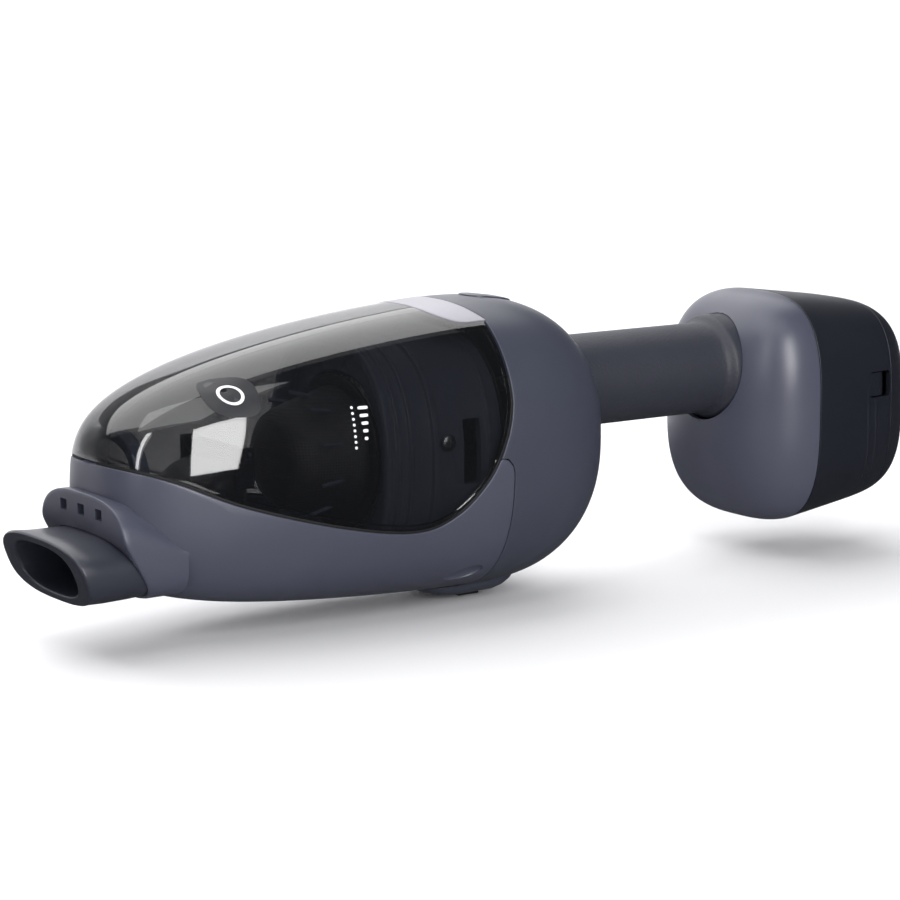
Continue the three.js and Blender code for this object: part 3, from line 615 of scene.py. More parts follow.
def bare_metal(tree, colour, roughness):
    """Turned or pressed metal: fine tool lines that spread the highlight."""
    place = add_node(tree, "ShaderNodeTexCoord").outputs["Object"]
    stretched = add_node(tree, "ShaderNodeMapping", {"Vector": place, "Scale": (4.0, 0.4, 0.4)})
    lines = add_node(
        tree, "ShaderNodeTexNoise",
        {"Vector": stretched.outputs["Vector"], "Scale": 900.0, "Detail": 3.0},
    )
    gloss = add_node(
        tree, "ShaderNodeMapRange",
        {"Value": lines.outputs["Fac"], "To Min": roughness - 0.08, "To Max": roughness + 0.1},
    )
    relief = add_node(
        tree, "ShaderNodeBump", {"Height": lines.outputs["Fac"], "Strength": 0.2, "Distance": 0.00003}
    )
    return add_node(
        tree, "ShaderNodeBsdfPrincipled",
        {"Base Color": varied(tree, place, colour, 0.01, 0.05), "Metallic": 1.0,
         "Roughness": gloss.outputs["Result"], "Normal": relief.outputs["Normal"]},
    )


def porous(tree, colour, pore, depth):
    """Filter paper or open foam: a fibrous or cellular surface that drinks the light."""
    place = add_node(tree, "ShaderNodeTexCoord").outputs["Object"]
    cells = add_node(tree, "ShaderNodeTexVoronoi", {"Vector": place, "Scale": 1 / pore})
    value = add_node(
        tree, "ShaderNodeMapRange", {"Value": cells.outputs["Distance"], "To Min": 0.7, "To Max": 1.1}
    )
    tone = add_node(
        tree, "ShaderNodeHueSaturation", {"Color": with_alpha(colour), "Value": value.outputs["Result"]}
    )
    relief = add_node(
        tree, "ShaderNodeBump", {"Height": cells.outputs["Distance"], "Strength": 0.7, "Distance": depth}
    )
    return add_node(
        tree, "ShaderNodeBsdfPrincipled",
        {"Base Color": tone.outputs["Color"], "Roughness": 0.95, "Normal": relief.outputs["Normal"]},
    )


def circuit_board(tree, colour):
    """Glass-epoxy board under solder mask: paler tracks and pads show through a soft gloss."""
    place = add_node(tree, "ShaderNodeTexCoord").outputs["Object"]
    tracks = add_node(
        tree, "ShaderNodeTexBrick",
        {"Vector": place, "Scale": 1 / 0.004, "Color1": (*colour, 1.0), "Mortar Size": 0.06,
         "Color2": (*(c * 0.8 for c in colour), 1.0),
         "Mortar": (*(min(c * 2.2, 1) for c in colour), 1.0)},
    )
    return add_node(
        tree, "ShaderNodeBsdfPrincipled", {"Base Color": tracks.outputs["Color"], "Roughness": 0.35}
    )


def plastic_film(tree, colour, roughness):
    """PVC sleeve or printed ink: an even colour with slight ripples in the gloss."""
    place = add_node(tree, "ShaderNodeTexCoord").outputs["Object"]
    ripples = add_node(tree, "ShaderNodeTexNoise", {"Vector": place, "Scale": 1 / 0.006, "Detail": 2.0})
    relief = add_node(
        tree, "ShaderNodeBump", {"Height": ripples.outputs["Fac"], "Strength": 0.15, "Distance": 0.0002}
    )
    return add_node(
        tree, "ShaderNodeBsdfPrincipled",
        {"Base Color": varied(tree, place, colour, 0.01, 0.05), "Roughness": roughness,
         "Normal": relief.outputs["Normal"]},
    )


def painted_floor(tree, colour):
    """Studio sweep in matt emulsion: pale, with the faint tone of a roller."""
    place = add_node(tree, "ShaderNodeTexCoord").outputs["Object"]
    return add_node(
        tree, "ShaderNodeBsdfPrincipled",
        {"Base Color": varied(tree, place, colour, 0.3, 0.01), "Roughness": 0.7,
         "Specular IOR Level": 0.25},
    )


def colour_property(name, description, colour):
    return FloatVectorProperty(
        name=name, description=description, default=linear(colour), size=3, min=0, max=1, subtype="COLOR"
    )


class VacuumColours(bpy.types.PropertyGroup):
    """Colours of the finishes."""

    casing: colour_property("Casing", "Lower casing and collar", "#3F414F")
    nozzle: colour_property("Nozzle", "Nozzle", "#282A34")
    housing: colour_property("Housing", "Motor housing, power button and belly foot", "#363945")
    grip: colour_property("Grip", "Grip sleeve", "#282A34")
    pod_front: colour_property("Pod front", "Front housing of the pod", "#424452")
    pod_rear: colour_property("Pod rear", "Battery casing, rear cover and latches", "#12151F")
    black: colour_property("Black plastic", "Duct and inner mouldings", "#1A1B20")
    # Painted light: the drum, cone ribs and nose arch are black plastic painted lighter, standing in for
    # the light that reaches them through the smoked canopy.
    drum: colour_property("Drum plastic", "Filter drum, cone ribs and nose arch", "#474B5A")
    smoke: colour_property("Smoke", "Body colour of the smoked canopy", "#06070A")
    silver: colour_property("Silver", "Release button", "#96949C")
    rubber: colour_property("Rubber", "Gasket, seals, flap and foot pad", "#0E0E10")
    ink: colour_property("Ink", "Fill mark and badge ring", "#E4E4E8")
    floor: colour_property("Floor", "Studio sweep", "#E6E6E8")


class VacuumSizes(bpy.types.PropertyGroup):
    """Sizes that don't come from the frame."""

    wall: FloatProperty(
        name="Wall", description="Thickness of the moulded shells", default=2.4 * MM, min=0.001,
        max=0.004, unit="LENGTH",
    )
    edge: FloatProperty(
        name="Edge radius", description="Rounding of the shells' rims", default=0.35 * MM, min=0.0001,
        max=0.001, unit="LENGTH",
    )
    grain: FloatProperty(
        name="Grain", description="Spacing of the moulded grain, coarser than life so that it shows",
        default=0.7 * MM, min=0.0001, max=0.003, unit="LENGTH",
    )
    sweep: FloatProperty(
        name="Sweep", description="Width of the studio floor", default=12.0, min=2, max=20, unit="LENGTH"
    )


def colours():
    return bpy.context.scene.vacuum_colours


def sizes():
    return bpy.context.scene.vacuum_sizes


def plastic(look):
    """The moulded ABS of a part of the vacuum."""
    chosen, grain = colours(), sizes().grain
    looks = {
        "grey_abs": ("ABS_spark_eroded_grey", chosen.casing, 0.40, grain, 0.00006),
        "nozzle_abs": ("ABS_spark_eroded_nozzle", chosen.nozzle, 0.42, grain, 0.00006),
        "housing_abs": ("ABS_spark_eroded_housing", chosen.housing, 0.40, grain, 0.00006),
        "grip_abs": ("ABS_leather_grain_grip", chosen.grip, 0.55, grain * 1.6, 0.0005),
        "pod_front_abs": ("ABS_satin_pod_front", chosen.pod_front, 0.38, grain, 0.00004),
        "pod_rear_abs": ("ABS_spark_eroded_pod_rear", chosen.pod_rear, 0.46, grain, 0.00008),
        "black_abs": ("ABS_polished_black", chosen.black, 0.26, grain, 0.00002),
        # A lit copy of the black ABS: painted light, lighter than the real drum plastic, so that the
        # parts show through the canopy.
        "drum_abs_painted_light": ("ABS_polished_drum", chosen.drum, 0.3, grain, 0.00002),
    }
    name, *values = looks[look]
    return material_of(name, moulded_plastic, *values)


def rubber_finish():
    return material_of("Nitrile_rubber_moulded", rubber, colours().rubber)


def smoke_finish():
    return material_of("Polycarbonate_smoked_polished", smoked_polycarbonate, colours().smoke)


def ink_finish():
    return material_of("Pad_printed_ink", plastic_film, colours().ink, 0.45)


def steel_finish():
    return material_of("Steel_turned_zinc_plated", bare_metal, linear("#B4B6BA"), 0.3)


# ---------------------------------------------------------------- dust container

CANOPY_ROWS = 110
ACROSS = 96
RELEASE_REACH = 28  # half the width of the release button
CRESCENT_STEPS = 60
BLUNT_END = 0.985  # share of the reach at which the button is cut off square
SPRING_X = 2.4  # return spring under the button's arm


def release_front(share):
    """Front edge of the release button in plan, bowed with blunt ends. share is -1 to 1 across it."""
    return -1.4 - 21.2 * max(0.0, 1 - abs(share) ** 3) ** (1 / 3)


def release_back(y):
    return -6.6 + 7 * (y / RELEASE_REACH) ** 2


def release_clearance(gap):
    """An upright shape over the button, and over the housing behind it, with a gap all round."""
    bm = bmesh.new()
    bmesh.ops.create_grid(bm, x_segments=1, y_segments=CRESCENT_STEPS, size=0.5)
    for vert in bm.verts:
        share = -math.cos(math.pi * (vert.co.y + 0.5))
        front = release_front(share) - gap
        vert.co = (front if vert.co.x < 0 else 6, share * (RELEASE_REACH + gap), 18)
    lifted = bmesh.ops.extrude_face_region(bm, geom=bm.faces[:])["geom"]
    upper = [v for v in lifted if isinstance(v, bmesh.types.BMVert)]
    bmesh.ops.translate(bm, vec=(0, 0, 40), verts=upper)
    return tidied(bm)


def canopy_ring(place):
    section = body_section(place.x)
    start = angle_at(section, place.y)
    return lambda share: on_section(
        section, place.x, math.pi - start - share * (math.pi - 2 * start)
    )


class VACUUM_OT_canopy(bpy.types.Operator):
    """Builds the smoked canopy over the dust container, with the bead along its rim"""

    bl_idname = "vacuum.canopy"
    bl_label = "Canopy"

    def execute(self, context):
        line = [p for p in edge_line(EDGE_HALF_GAP) if p.x > nose_crossing(EDGE_HALF_GAP).x]
        line.insert(0, nose_crossing(EDGE_HALF_GAP))
        lengths = lengths_of(line)
        places = [along_line(line, lengths, eased(i / CANOPY_ROWS)) for i in range(CANOPY_ROWS + 1)]
        make_piece(
            "canopy_shell", loft([canopy_ring(p) for p in places], ACROSS), smoke_finish(),
            "dust_container", ["canopy"], wall=sizes().wall / MM - 0.2,
            edge=sizes().edge / MM, cuts=[release_clearance(0.3)],
        )
        bead = [(2.4, 0.5), (2.4, -0.05), (2.75, -0.28), (3.1, -0.05), (3.1, 0.5), (2.4, 0.5)]
        sides = [edge_strip(edge_line(0), side, bead, 0.12, 0.97) for side in (1, -1)]
        make_piece(
            "canopy_bead", merged(*sides), smoke_finish(), "dust_container",
        )
        return {"FINISHED"}


def edge_strip(line, side, shape, start, end):
    """A strip along one side of an edge line. shape is (distance over the skin, depth under it)."""
    lengths = lengths_of(line)
    steps = 150
    shares = [start + (end - start) * eased(i / steps) for i in range(steps + 1)]
    places = [along_line(line, lengths, share) for share in shares]
    rings = [strip_ring(place, side, shape) for place in places]
    return loft(rings, len(shape) - 1, closed_ends=True)


def strip_ring(place, side, shape):
    """One section of an edge strip, square to the skin at a place on the line."""
    section = body_section(place.x)
    angle = angle_at(section, place.y)
    angle = angle if side > 0 else math.pi - angle
    centre = skin_point(body_section, place.x, angle, -0.01)
    inwards = (centre - skin_point(body_section, place.x, angle, -1)).normalized()
    ahead = min(max((place.x + 12) / 10, 0), 1)
    up = Vector((-ahead, 0, 1 - ahead)).normalized()
    up = (up - up.dot(inwards) * inwards).normalized()

    def ring(share):
        across, depth = shape[round(share * (len(shape) - 1))]
        point = centre + up * across
        return point - inwards * depth

    return ring


class VACUUM_OT_gasket(bpy.types.Operator):
    """Builds the rubber gasket that follows the canopy's edge"""

    bl_idname = "vacuum.gasket"
    bl_label = "Canopy gasket"

    def execute(self, context):
        half = 0.5
        shape = [(-half, 0.5), (-half, 1.9), (half, 1.9), (half, 0.5), (0, 0.35), (-half, 0.5)]
        sides = [edge_strip(edge_line(0), side, shape, 0, 1) for side in (1, -1)]
        make_piece(
            "canopy_seal", merged(*sides), rubber_finish(), "dust_container",
            ["canopy_gasket"],
        )
        return {"FINISHED"}


def casing_line():
    """Upper boundary of the casing in side view, from the nose to its rear corner."""
    line = [p for p in edge_line(-EDGE_HALF_GAP) if p.y < SEAM_TOP - SEAM_HALF_GAP or p.x < -60]
    line.insert(0, Vector((-NOSE_LENGTH, line[0].y)))
    line.append(Vector((-7, SEAM_TOP - SEAM_HALF_GAP)))
    for x, z in SEAM_CORNER:
        line.append(Vector((x - SEAM_HALF_GAP, z - SEAM_HALF_GAP)))
    return line


def casing_ring(place):
    section = body_section(place.x)
    start = angle_at(section, place.y)
    return lambda share: on_section(
        section, place.x, math.pi - start + share * (math.pi + 2 * start)
    )


NOZZLE_LEAN = (-0.352, 0.936)
NOZZLE_POWER = 2.75
# The nozzle's outside and bore, as (x, z) of the centre, half width and half height along the slant.
NOZZLE_STOPS = [
    (-177.8, -49, 32.1, 13.3), (-170, -48.9, 31.7, 13.1), (-160, -48.8, 31.2, 12.9),
    (-147, -48.4, 30, 12.6), (-134, -47.6, 27.5, 12),
]
BORE_STOPS = [(-177.8, -49, 22.6, 10.1), (-156, -48.3, 22.8, 9.7), (-134, -47.6, 23, 9.2)]


def nozzle_ring(stop, grow=0.0, depth=0.0):
    """A ring of the nozzle, grown outwards and set back square to the mouth."""
    x, z, half_width, half_height = stop
    return leaning_ring(
        x + depth * NOZZLE_LEAN[1], z - depth * NOZZLE_LEAN[0], half_width + grow, half_height + grow,
        NOZZLE_LEAN, NOZZLE_POWER,
    )


HOOD_X = -163
HOOD_REAR = -137
# Three square pockets in the collar's face.
POCKET_YS = (-13.5, 0, 13.5)
POCKET_REACH = 2.5
POCKET_SPAN = (-30.6, -26.4)
# A finger recess low on each side.
RECESS_X = -15.5
RECESS_RADII = (8.4, 1.9, 4.2)


def rim_x(z):
    """Face of the collar in side view: upright over the hood, then running back under the nozzle."""
    below = -36 - z
    return HOOD_X + 0.6 * (below + math.sqrt(below**2 + 6)) / 2


def collar_section(x):
    """The collar shrinks into the casing behind the hood."""
    back = min(max((x + 156) / 24, 0), 1)
    return Section(-42 - 6 * back, -22.1 - 14.9 * back, -62 + back, 32.8 + 1.2 * back, 3)


def collar_ring(back, scale, inset):
    """back is 0 at the rim and 1 at the rear; scale shrinks the ring into the face."""

    def ring(share):
        angle = math.tau * share
        point = on_section(collar_section(HOOD_X), 0, angle)
        x = rim_x(point.z) + inset
        x += (HOOD_REAR - x) * back
        point = on_section(collar_section(x), x, angle)
        middle = collar_section(x).middle
        if scale < 1:
            point.y *= scale
            point.z = middle + (point.z - middle) * scale
            point.x = rim_x(point.z) + inset
        return point

    return ring


def collar():
    """The raised collar that the nozzle leaves through, with a rolled rim."""
    face = [(0, s, 0) for s in (0.02, 0.3, 0.6, 0.8, 0.93, 0.965)]
    roll = [(0, 0.985, 0.12), (0, 0.995, 0.4), (0, 1, 0.9)]
    sides = [(b, 1, 0.9) for b in (0.1, 0.25, 0.4, 0.55, 0.7, 0.85, 1)]
    return loft([collar_ring(*stop) for stop in face + roll + sides], 128, closed_ends=True)


class VACUUM_OT_casing(bpy.types.Operator):
    """Builds the lower casing with the nozzle's collar and the finger recesses"""

    bl_idname = "vacuum.casing"
    bl_label = "Lower casing"

    def execute(self, context):
        line = casing_line()
        lengths = lengths_of(line)
        rows = 120
        places = [along_line(line, lengths, eased(i / rows)) for i in range(rows + 1)]
        skin = loft([casing_ring(p) for p in places], 128)
        passage = [(-200, *NOZZLE_STOPS[0][1:]), *NOZZLE_STOPS, (-60, *NOZZLE_STOPS[-1][1:])]
        cuts = [loft([nozzle_ring(stop, 0.3) for stop in passage], 96, closed_ends=True)]
        for y in POCKET_YS:
            pocket = (y - POCKET_REACH, y + POCKET_REACH, *POCKET_SPAN)
            cuts.append(block(HOOD_X - 4, HOOD_X + 5, *pocket, corner=0.35))
        for side in (-1, 1):
            cuts.append(self.finger_recess(side))
        make_piece(
            "casing_shell", skin, plastic("grey_abs"), "dust_container", ["lower_casing"],
            wall=sizes().wall / MM, edge=sizes().edge / MM, joins=[collar()], cuts=cuts,
        )
        return {"FINISHED"}

    def finger_recess(self, side):
        """A lens-shaped scoop low on each side, by the seam."""
        bm = bmesh.new()
        bmesh.ops.create_uvsphere(bm, u_segments=48, v_segments=24, radius=1)
        place = skin_point(body_section, RECESS_X, math.radians(-49.5), -0.2)
        turn = Matrix.Translation((place.x, side * place.y, place.z))
        turn = turn @ Matrix.Rotation(side * math.radians(-42), 4, "X")
        turn = turn @ Matrix.Rotation(math.radians(-14), 4, "Y")
        bmesh.ops.transform(bm, matrix=turn @ Matrix.Diagonal((*RECESS_RADII, 1)), verts=bm.verts)
        return bm


class VACUUM_OT_nozzle(bpy.types.Operator):
    """Builds the nozzle with its slanted mouth"""

    bl_idname = "vacuum.nozzle"
    bl_label = "Nozzle"

    def execute(self, context):
        mouth, bore = NOZZLE_STOPS[0], BORE_STOPS[0]
        rings = [nozzle_ring(stop) for stop in reversed(NOZZLE_STOPS[1:])]
        rings += [nozzle_ring(mouth, g, d) for g, d in ((0, 1.3), (-0.12, 0.6), (-0.45, 0.15), (-1, 0))]
        rings += [nozzle_ring(bore, g, d) for g, d in ((0.9, 0), (0.4, 0.12), (0.1, 0.5), (0, 1.2))]
        rings += [nozzle_ring(stop) for stop in BORE_STOPS[1:]]
        make_piece(
            "nozzle_tube", loft(rings + rings[:1], 96), plastic("nozzle_abs"), "dust_container",
            ["nozzle"],
        )
        return {"FINISHED"}


ARCH_BASE = -14


class VACUUM_OT_nose_arch(bpy.types.Operator):
    """Builds the dark arch that stiffens the canopy's nose"""

    bl_idname = "vacuum.nose_arch"
    bl_label = "Nose arch"

    def execute(self, context):
        section = [(-152, 23, 15.2), (-146.5, 23, 15.2), (-146.5, 18.2, 10.8), (-152, 18.2, 10.8)]
        rings = [self.arch_ring(*corner) for corner in section + section[:1]]
        make_piece(
            "nose_arch_rib", loft(rings, 48, closed_ends=True), plastic("drum_abs_painted_light"), "dust_container",
            ["nose_arch"], edge=0.5,
        )
        return {"FINISHED"}

    def arch_ring(self, x, half_width, height):
        """Half an ellipse across the nose, standing on the arch's base."""

        def ring(share):
            turn = math.pi * share
            return Vector((x, half_width * math.cos(turn), ARCH_BASE + height * math.sin(turn)))

        return ring


# Middle line of the duct, as (x, z) of its centre, half width, half height and tilt.
DUCT_STOPS = [
    (-133.4, -47.6, 23, 9.4, 0.36), (-126, -41.8, 21, 10.2, 0.6), (-118.5, -33.6, 19.2, 10.8, 0.7),
    (-112, -27.6, 18.5, 10.2, 0.4), (-105, -25, 18, 10, 0),
]
DUCT_WALL = 1.6


class VACUUM_OT_inlet_duct(bpy.types.Operator):
    """Builds the duct that lifts the dirt from the nozzle to the flap"""

    bl_idname = "vacuum.inlet_duct"
    bl_label = "Inlet duct"

    def execute(self, context):
        rings = []
        for grow, stops in ((DUCT_WALL, DUCT_STOPS), (0, DUCT_STOPS[::-1])):
            for x, z, half_width, half_height, tilt in stops:
                lean = (-math.sin(tilt), math.cos(tilt))
                rings.append(leaning_ring(x, z, half_width + grow, half_height + grow, lean, 3.4))
        lugs = [block(-109, -101, y0, y1, -24, -8.5, 0.6) for y0, y1 in ((-21.2, -19), (19, 21.2))]
        make_piece(
            "duct_tube", merged(loft(rings + rings[:1], 64), *lugs), plastic("black_abs"),
            "dust_container", ["inlet_duct"], edge=0.3,
        )
        return {"FINISHED"}


# ---------------------------------------------------------------- filter

DRUM = Section(FAN_Z - 2, 28, -65, 42.5, 2.4)
# Outside of the drum from front to back, as (x, depth below the drum's full size).
DRUM_STEPS = [
    (-56, 0.8), (-55.4, 0), (-53.4, 0), (-53, 1.4), (-50.6, 1.4), (-50.2, 0.5), (-48.8, 0.5),
    (-48.4, 1.4), (-45.2, 1.4), (-44.8, 0.3), (-43.2, 0.3), (-42.8, 1.8), (-34.4, 1.8), (-34, 0.4),
    (-31.6, 0.4), (-31.2, 1), (-9, 1), (-8.6, 0.2), (-7, 0.2), (-6.6, 1), (-2, 1),
]
# Screw with its seat at x = 0, as (x, radius).
SCREW_PROFILE = [(-6, 0), (-6, 1.3), (0, 1.3), (0, 3), (0.9, 3), (1.4, 2.2), (1.5, 0)]
SCREW_PLACE = (-28, -11)  # x and z on the drum's side
SCREW_REACH = 42.2


class VACUUM_OT_filter_drum(bpy.types.Operator):
    """Builds the ribbed drum that carries the filters, with its side windows and screws"""

    bl_idname = "vacuum.filter_drum"
    bl_label = "Filter drum"

    def execute(self, context):
        outside = [flat_ring(shrunk(DRUM, by), x) for x, by in DRUM_STEPS]
        inside = [flat_ring(shrunk(DRUM, 4), x) for x in (-2, -47.6)]
        inside.append(flat_ring(shrunk(DRUM, 16.5), -47.6))
        front = [(14.5, -50.4), (4, -50), (3.2, -56)]
        front = [flat_ring(shrunk(DRUM, by), x) for by, x in front]
        drum = loft(outside + inside + front + outside[:1], 96)
        windows = [block(-20, -12, side * 30, side * 60, -28, -3, 0.8) for side in (1, -1)]
        make_piece(
            "drum", drum, plastic("drum_abs_painted_light"), "filter", ["filter_drum"], edge=0.2,
            cuts=windows,
        )
        for name, side in (("left", -1), ("right", 1)):
            head = turned(SCREW_PROFILE, steps=32)
            slots = [block(0.7, 2, -0.35, 0.35, -1.7, 1.7), block(0.7, 2, -1.7, 1.7, -0.35, 0.35)]
            make_piece(
                f"drum_screw_{name}", self.at_side(head, side), steel_finish(), "filter",
                [f"filter_screw_{name}"], edge=0.12, cuts=[self.at_side(s, side) for s in slots],
            )
        return {"FINISHED"}

    def at_side(self, bm, side):
        bmesh.ops.translate(bm, vec=(SCREW_REACH, 0, 0), verts=bm.verts)
        return turned_to_side(bm, *SCREW_PLACE, side)


class VACUUM_OT_prefilter_cone(bpy.types.Operator):
    """Builds the mesh cone in front of the fine filter"""

    bl_idname = "vacuum.prefilter_cone"
    bl_label = "Prefilter cone"

    def execute(self, context):
        back = -50.6
        profile = [
            (back, 30), (back - 1.4, 30.5), (back - 2, 30), (back - 2.2, 25.8), (-60, 23.8), (-70, 21.4),
            (-76, 19.6), (-79, 18.2), (-81.2, 15.4), (-82.2, 11), (-82.5, 5), (-82.5, 0), (-81, 0),
            (-80.8, 10), (-78.2, 16.4), (-60, 22), (back, 24), (back, 30),
        ]
        mesh = material_of("Mesh_woven_black", woven_mesh, linear("#1C1D22"))
        make_piece(
            "mesh_cone", turned(profile, 0, FAN_Z), mesh, "filter", ["prefilter_cone"],
        )
        ribs = []
        for i in range(10):
            rib = block(-78.5, back - 2, -0.6, 0.6, 19.2, 20.6, 0.3)
            tilt = Matrix.Translation((-65, 0, 0)) @ Matrix.Rotation(math.radians(13.5), 4, "Y")
            bmesh.ops.transform(rib, matrix=tilt @ Matrix.Translation((65, 0, 2.8)), verts=rib.verts)
            turn = Matrix.Translation((0, 0, FAN_Z)) @ Matrix.Rotation(math.tau * i / 10, 4, "X")
            bmesh.ops.transform(rib, matrix=turn, verts=rib.verts)
            ribs.append(rib)
        make_piece(
            "cone_ribs", merged(*ribs), plastic("drum_abs_painted_light"), "filter",
        )
        return {"FINISHED"}


# ---------------------------------------------------------------- motor unit

HOUSING_ROWS = 72
POWER_SPAN = (8, 30)
POWER_HALF_WIDTH = 7
REAR_SLOTS = (-29, -35, -41, -47)


def housing_front(angle):
    """X of the housing's front edge at an angle: behind the button, the canopy and the casing."""
    point = on_section(body_section(-3), -3, angle)
    if point.z > 0 and abs(point.y) < RELEASE_REACH - 1:
        return release_back(point.y) + 0.3
    if point.z > EDGE_TOP:
        return -1.1 + EDGE_HALF_GAP
    if point.z > SEAM_TOP:
        rear = [p for p in edge_line(-EDGE_HALF_GAP) if p.x > -30]
        return next((p.x for p in rear if p.y >= point.z), rear[-1].x)
    corner = [(SEAM_CORNER[0][0] - 0.6, SEAM_TOP), *SEAM_CORNER]
    for (x0, z0), (x1, z1) in zip(corner, corner[1:]):
        if z1 <= point.z <= z0:
            return x0 + (x1 - x0) * (z0 - point.z) / (z0 - z1) + SEAM_HALF_GAP
    return SEAM_X + SEAM_HALF_GAP


def housing_angles():
    """Angles round the housing: even steps, with close ones where the seam turns its corner."""
    section = body_section(-3)
    close = [angle_at(section, z) for z in (-24.5, -23.4, -22.4, -21.4, -20.3, -19.2, -18.5, -18.05)]
    close += [math.pi - a for a in close]
    count = 132
    even = [math.tau * i / count - math.pi / 2 for i in range(count + 1)]
    kept = [a for a in even if all(abs(a - c) > math.radians(0.9) for c in close)]
    return sorted(kept + close)


def slot_outline(share, grow):
    """A rounded slot in plan, long along X."""
    x0, x1, radius = POWER_SPAN[0], POWER_SPAN[1], POWER_HALF_WIDTH
    angle = math.tau * share
    end = x1 - radius if math.cos(angle) > 0 else x0 + radius
    return end + (radius + grow) * math.cos(angle), (radius + grow) * math.sin(angle)


def slot_ring(grow, lift=None, z=None):
    """The slot's outline laid on the housing's top, or level at height z."""

    def ring(share):
        x, y = slot_outline(share, grow)
        return Vector((x, y, z)) if lift is None else on_top(x, y, lift)

    return ring


class VACUUM_OT_motor_housing(bpy.types.Operator):
    """Builds the motor housing with its grip opening, power button slot and exhaust slots"""

    bl_idname = "vacuum.motor_housing"
    bl_label = "Motor housing"

    def execute(self, context):
        angles = housing_angles()
        columns = len(angles) - 1
        fronts = [housing_front(a) for a in angles]

        def row(u):
            near_end = 1 - (1 - u) ** 2.4

            def ring(share):
                k = round(share * columns)
                x = fronts[k] + (MOTOR_LENGTH - fronts[k]) * near_end
                return on_section(body_section(x), x, angles[k])

            return ring

        skin = loft([row(i / HOUSING_ROWS) for i in range(HOUSING_ROWS + 1)], columns)
        cuts = [rod(35, 90, GRIP_RADIUS + 0.25)]
        cuts.append(loft([slot_ring(0.35, z=25), slot_ring(0.35, z=50)], 64, closed_ends=True))
        cuts += [block(40, 80, -15, 15, z - 1.5, z + 1.5, 1.2) for z in REAR_SLOTS]
        make_piece(
            "housing_shell", skin, plastic("housing_abs"), "motor_unit", ["motor_housing"],
            wall=sizes().wall / MM, edge=sizes().edge / MM, cuts=cuts,
        )
        return {"FINISHED"}


class VACUUM_OT_release_button(bpy.types.Operator):
    """Builds the silver crescent that frees the dust container"""

    bl_idname = "vacuum.release_button"
    bl_label = "Release button"

    def execute(self, context):
        def across(i):
            place = -BLUNT_END * math.cos(math.pi * i / CRESCENT_STEPS)
            y = place * RELEASE_REACH

            def ring(share):
                front, back = release_front(place) + 0.1, release_back(y) - 0.1
                return on_top(front + (back - front) * share, y, 0.2)

            return ring

        silver = material_of("Lacquer_silver_on_ABS", silver_paint, colours().silver)
        make_piece(
            "release_crescent", loft([across(i) for i in range(CRESCENT_STEPS + 1)], 8), silver,
            "release_button", ["release_button"], wall=2.2, edge=0.45,
        )
        # The arm ends in a cup that goes down over the return spring.
        make_piece(
            "release_arm", block(-14, 7, -8, 8, 32.4, 34.4, 0.4), plastic("black_abs"), "release_button",
            joins=[block(-14, -8.4, -8, 8, 34, 36.4, 0.4), post(SPRING_X, 32.8, 36.2, 4.2)],
            cuts=[post(SPRING_X, 30, 35.3, 3.1)],
        )
        return {"FINISHED"}


class VACUUM_OT_power_button(bpy.types.Operator):
    """Builds the power button, a soft dome in its slot"""

    bl_idname = "vacuum.power_button"
    bl_label = "Power button"

    def execute(self, context):
        rings = [slot_ring(-1.2, -2.2), slot_ring(0, -2.2), slot_ring(0, 0.2), slot_ring(-0.12, 0.42)]
        rings += [slot_ring(-0.45, 0.56), slot_ring(-1.2, 0.64), slot_ring(-3, 0.68)]
        rings += [slot_ring(-5, 0.7), slot_ring(-6.96, 0.7)]
        make_piece(
            "power_cap", loft(rings, 96, closed_ends=True), plastic("housing_abs"), "power_button",
            ["power_button"],
        )
        return {"FINISHED"}


# Belly foot in side view, as (x, lowest z, half width).
FOOT_STATIONS = [
    (-19, -75.9, 9), (-17, -76.8, 12), (-12, -78.3, 15), (-4, -79.2, 16.5), (4, -79.2, 17),
    (13, -79.1, 17), (18, -78.2, 16), (22, -76.6, 14.5), (25.2, -74, 12.5), (26.6, -71.6, 11),
]


class VACUUM_OT_belly_foot(bpy.types.Operator):
    """Builds the faired foot under the motor unit and its rubber pad"""

    bl_idname = "vacuum.belly_foot"
    bl_label = "Belly foot"

    def execute(self, context):
        make_piece(
            "foot_fairing", loft([self.station(*s) for s in FOOT_STATIONS], 64, closed_ends=True),
            plastic("housing_abs"), "motor_unit", ["belly_foot"],
        )
        make_piece(
            "foot_rubber", block(1, 11, -8, 8, -80.7, -78.6, 0.6), rubber_finish(), "motor_unit",
            ["foot_pad"],
        )
        return {"FINISHED"}

    def station(self, x, lowest, half_width):
        """Under the casing the foot stays clear of it; under the housing it runs into its wall."""
        clearance = -0.35 if x < SEAM_X else 1.2

        def ring(share):
            angle = math.tau * share
            c, s = math.cos(angle), math.sin(angle)
            y = math.copysign(abs(c) ** 0.6, c) * half_width
            roof = belly_height(x, y) + clearance
            if s >= 0:
                return Vector((x, y, roof))
            return Vector((x, y, roof + (min(lowest, roof) - roof) * abs(s) ** 0.6))

        return ring


class VACUUM_OT_grip(bpy.types.Operator):
    """Builds the grip sleeve, flared where it enters the pod"""

    bl_idname = "vacuum.grip"
    bl_label = "Grip sleeve"

    def execute(self, context):
        bore = GRIP_RADIUS - 2.5
        profile = [(GRIP_START, bore), (GRIP_START, GRIP_RADIUS)]
        profile += [(GRIP_START + 4 + 10 * i, GRIP_RADIUS) for i in range(8)]
        flare = [(129.2, 0), (130.4, 0.08), (131.4, 0.26), (132.4, 0.58), (133.2, 0.84), (134, 0.97)]
        profile += [(x, GRIP_RADIUS + (FLARE_RADIUS - GRIP_RADIUS) * s) for x, s in flare]
        profile += [(135, FLARE_RADIUS), (144, FLARE_RADIUS), (144, bore), (GRIP_START, bore)]
        make_piece(
            "grip_tube", turned(profile, steps=96), plastic("grip_abs"), "motor_unit",
            ["grip_sleeve"],
        )
        return {"FINISHED"}


# ---------------------------------------------------------------- pod

